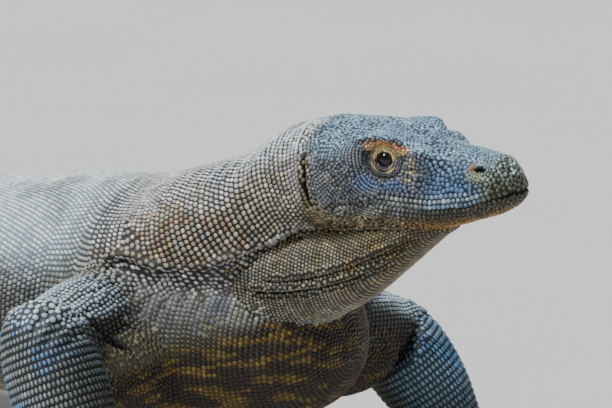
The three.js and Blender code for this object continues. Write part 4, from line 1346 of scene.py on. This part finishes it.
# ---- eyes and claws
def eye_piece(name, side):
    """An eyeball with a slight cornea: a round pupil, a dark iris and a brown ring round it."""
    first, second, axis = eye_axes(side)
    angle = np.linspace(0.02, np.pi - 0.02, 64)
    turn = turns(48)
    radius = EYE_RADIUS + 0.9 * bump(angle, 0, 0.55)
    circle = first * np.cos(turn)[:, None] + second * np.sin(turn)[:, None]
    rings = (axis * (radius * np.cos(angle))[:, None, None]
             + (radius * np.sin(angle))[:, None, None] * circle)
    points, faces = tube(rings + EYE * [side, 1, 1])
    mesh = mesh_of(name, points * MM + SHIFT, faces)
    # tints by the angle from the axis: the pupil, the iris, the brown ring, and darker round that
    stops = np.array([0, 0.40, 0.46, 0.62, 0.67, 0.76, 0.88, np.pi])
    tints = lin([1, 1, 1], [1, 1, 1], [5, 3.5, 3], [8, 5, 3.5], [26, 17, 10], [20, 13, 8], [14, 9, 7],
                [14, 9, 7])
    by_point = np.concatenate([np.repeat(angle, len(turn)), [0.0, np.pi]])
    colours = np.stack([np.interp(by_point, stops, tints[:, c]) for c in range(3)], 1)
    piece = finished(mesh, colours, eye_material)
    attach(piece, "root")
    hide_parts(name.removesuffix("_ball"))


CLAW_RINGS, CLAW_SIDES = 16, 14


def claw_rings(wrist, axes, shape):
    """A claw on an arc that leaves the digit's tip rising a little and ends pointing down."""
    reach, across, up = digit_axes(axes, shape[2])
    root = digit_middle(wrist, axes, shape, DIGIT[-1, 0]) + reach * CLAW_START + up * 2
    bend = math.radians(CLAW_BEND)
    radius = CLAW_LENGTH / bend
    rings = []
    for t in np.linspace(-0.12, 1, CLAW_RINGS):
        heading = CLAW_TILT + bend * t
        centre = (root + reach * radius * (math.sin(heading) - math.sin(CLAW_TILT))
                  + up * radius * (math.cos(heading) - math.cos(CLAW_TILT)))
        normal = up * math.cos(heading) + reach * math.sin(heading)
        size = max(1 - max(t, 0) ** 1.5, 0.07)
        wide, high = CLAW_HALF_WIDTH * size, CLAW_HALF_HEIGHT * size
        rings.append(hoops(centre, across, normal, wide, high, CLAW_SIDES))
    return np.array(rings)


for name, side in (("eye_right_ball", -1), ("eye_left_ball", 1)):
    eye_piece(name, side)
# the tone of a claw runs from horn to nearly black along it
share = np.concatenate([np.repeat(np.linspace(0, 1, CLAW_RINGS), CLAW_SIDES), [0, 1]])[:, None]
tones = lin(34, 31, 27) * (1 - share) + lin(10, 9, 8) * share
for limb, (side, joints, yaw, kind) in LIMBS.items():
    points, faces = [], []
    digits = PAWS[kind][3]
    for shape in digits:
        p, f = tube(claw_rings(joints[2], paw_axes(side, yaw), shape))
        faces += [[len(points) + i for i in face] for face in f]
        points += p.tolist()
    mesh = mesh_of(f"claws_{limb}", np.array(points) * MM + SHIFT, faces)
    piece = finished(mesh, np.tile(tones, (len(digits), 1)), claw_material)
    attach(piece, "root")
    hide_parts(*[f"{kind}_claw_{limb.split('_')[1]}_{i + 1}" for i in range(5)])


# ---- the skin
skin_kind, _, skin_stop = located(skin_points)
_, between = markings_and_painted_light(skin_points, skin_normals, skin_kind, skin_stop)
set_places(skin_mesh, skin_points * MM + SHIFT)
skin_mesh.materials.clear()
skin = finished(skin_mesh, between, skin_material)
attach(skin, "root")
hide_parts(*[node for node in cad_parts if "claw" not in node and "eye" not in node])


# ---- floor, light and camera
def floor_surface(shader, node, link):
    """A pale, dull floor, hardly uneven in tone."""
    place = node("ShaderNodeNewGeometry")
    noise = node("ShaderNodeTexNoise", Scale=2.5, Detail=5.0)
    link(place, "Position", noise, "Vector")
    colour = node("ShaderNodeMix", data_type="RGBA", A=(0.735, 0.73, 0.72, 1), B=(0.77, 0.765, 0.755, 1))
    link(noise, "Fac", colour, "Factor")
    link(colour, next(i for i, out in enumerate(colour.outputs) if out.type == "RGBA"), shader, "Base Color")
    shader.inputs["Roughness"].default_value = 0.85


FLOOR_HALF = 600  # metres; so wide that a camera low over it sees no edge of it
corners = [(x * FLOOR_HALF, y * FLOOR_HALF, 0) for x, y in ((-1, -1), (1, -1), (1, 1), (-1, 1))]
floor = object_of(mesh_of("floor", corners, [[0, 1, 2, 3]]))
floor.data.materials.append(material("floor", floor_surface))

BELOW, ABOVE = 0.82, 0.33  # strength of the backdrop: the floor's own tone below the horizon, and the sky
SUN_ENERGY, SUN_ANGLE, SUN_FROM = 3.7, 18, (-0.42, 0.28, 0.86)  # the angle is its width, in degrees
world = bpy.data.worlds.new("world")
world.use_nodes = True
sky = world.node_tree
backdrop = sky.nodes["Background"]
backdrop.inputs["Color"].default_value = (0.95, 0.97, 1.0, 1)
split, rise = sky.nodes.new("ShaderNodeSeparateXYZ"), sky.nodes.new("ShaderNodeMapRange")
sky.links.new(sky.nodes.new("ShaderNodeTexCoord").outputs["Generated"], split.inputs[0])
sky.links.new(split.outputs["Z"], rise.inputs["Value"])
for socket, value in (("From Min", 0.0), ("From Max", 0.05), ("To Min", BELOW), ("To Max", ABOVE)):
    rise.inputs[socket].default_value = value
sky.links.new(rise.outputs["Result"], backdrop.inputs["Strength"])
bpy.context.scene.world = world
sun = bpy.data.objects.new("sun", bpy.data.lights.new("sun", "SUN"))
sun.data.energy = SUN_ENERGY
sun.data.angle = math.radians(SUN_ANGLE)
sun.rotation_euler = Vector(SUN_FROM).to_track_quat("Z", "Y").to_euler()
bpy.context.scene.collection.objects.link(sun)

# The photo's camera: its place in metres in the CAD source's frame, its bearing in degrees, and its lens.
CAMERA_AT, CAMERA_AZIMUTH, CAMERA_ELEVATION = (-3.4446, -2.1214, 1.3377), -60, 14
CAMERA_LENS, SENSOR_WIDTH, CAMERA_REACH = 248, 36, 3000
camera = bpy.data.objects.new("camera", bpy.data.cameras.new("camera"))
bpy.context.scene.collection.objects.link(camera)
azimuth, elevation = math.radians(CAMERA_AZIMUTH), math.radians(CAMERA_ELEVATION)
flat = math.cos(elevation)
back = Vector((math.sin(azimuth) * flat, -math.cos(azimuth) * flat, math.sin(elevation)))
right = Vector((math.cos(azimuth), math.sin(azimuth), 0))
turn = Matrix((right, back.cross(right), back)).transposed()
camera.matrix_world = Matrix.Translation(Vector(CAMERA_AT) + Vector(SHIFT)) @ turn.to_4x4()
camera.data.lens = CAMERA_LENS
camera.data.sensor_width = SENSOR_WIDTH
camera.data.clip_end = CAMERA_REACH
bpy.context.scene.camera = camera
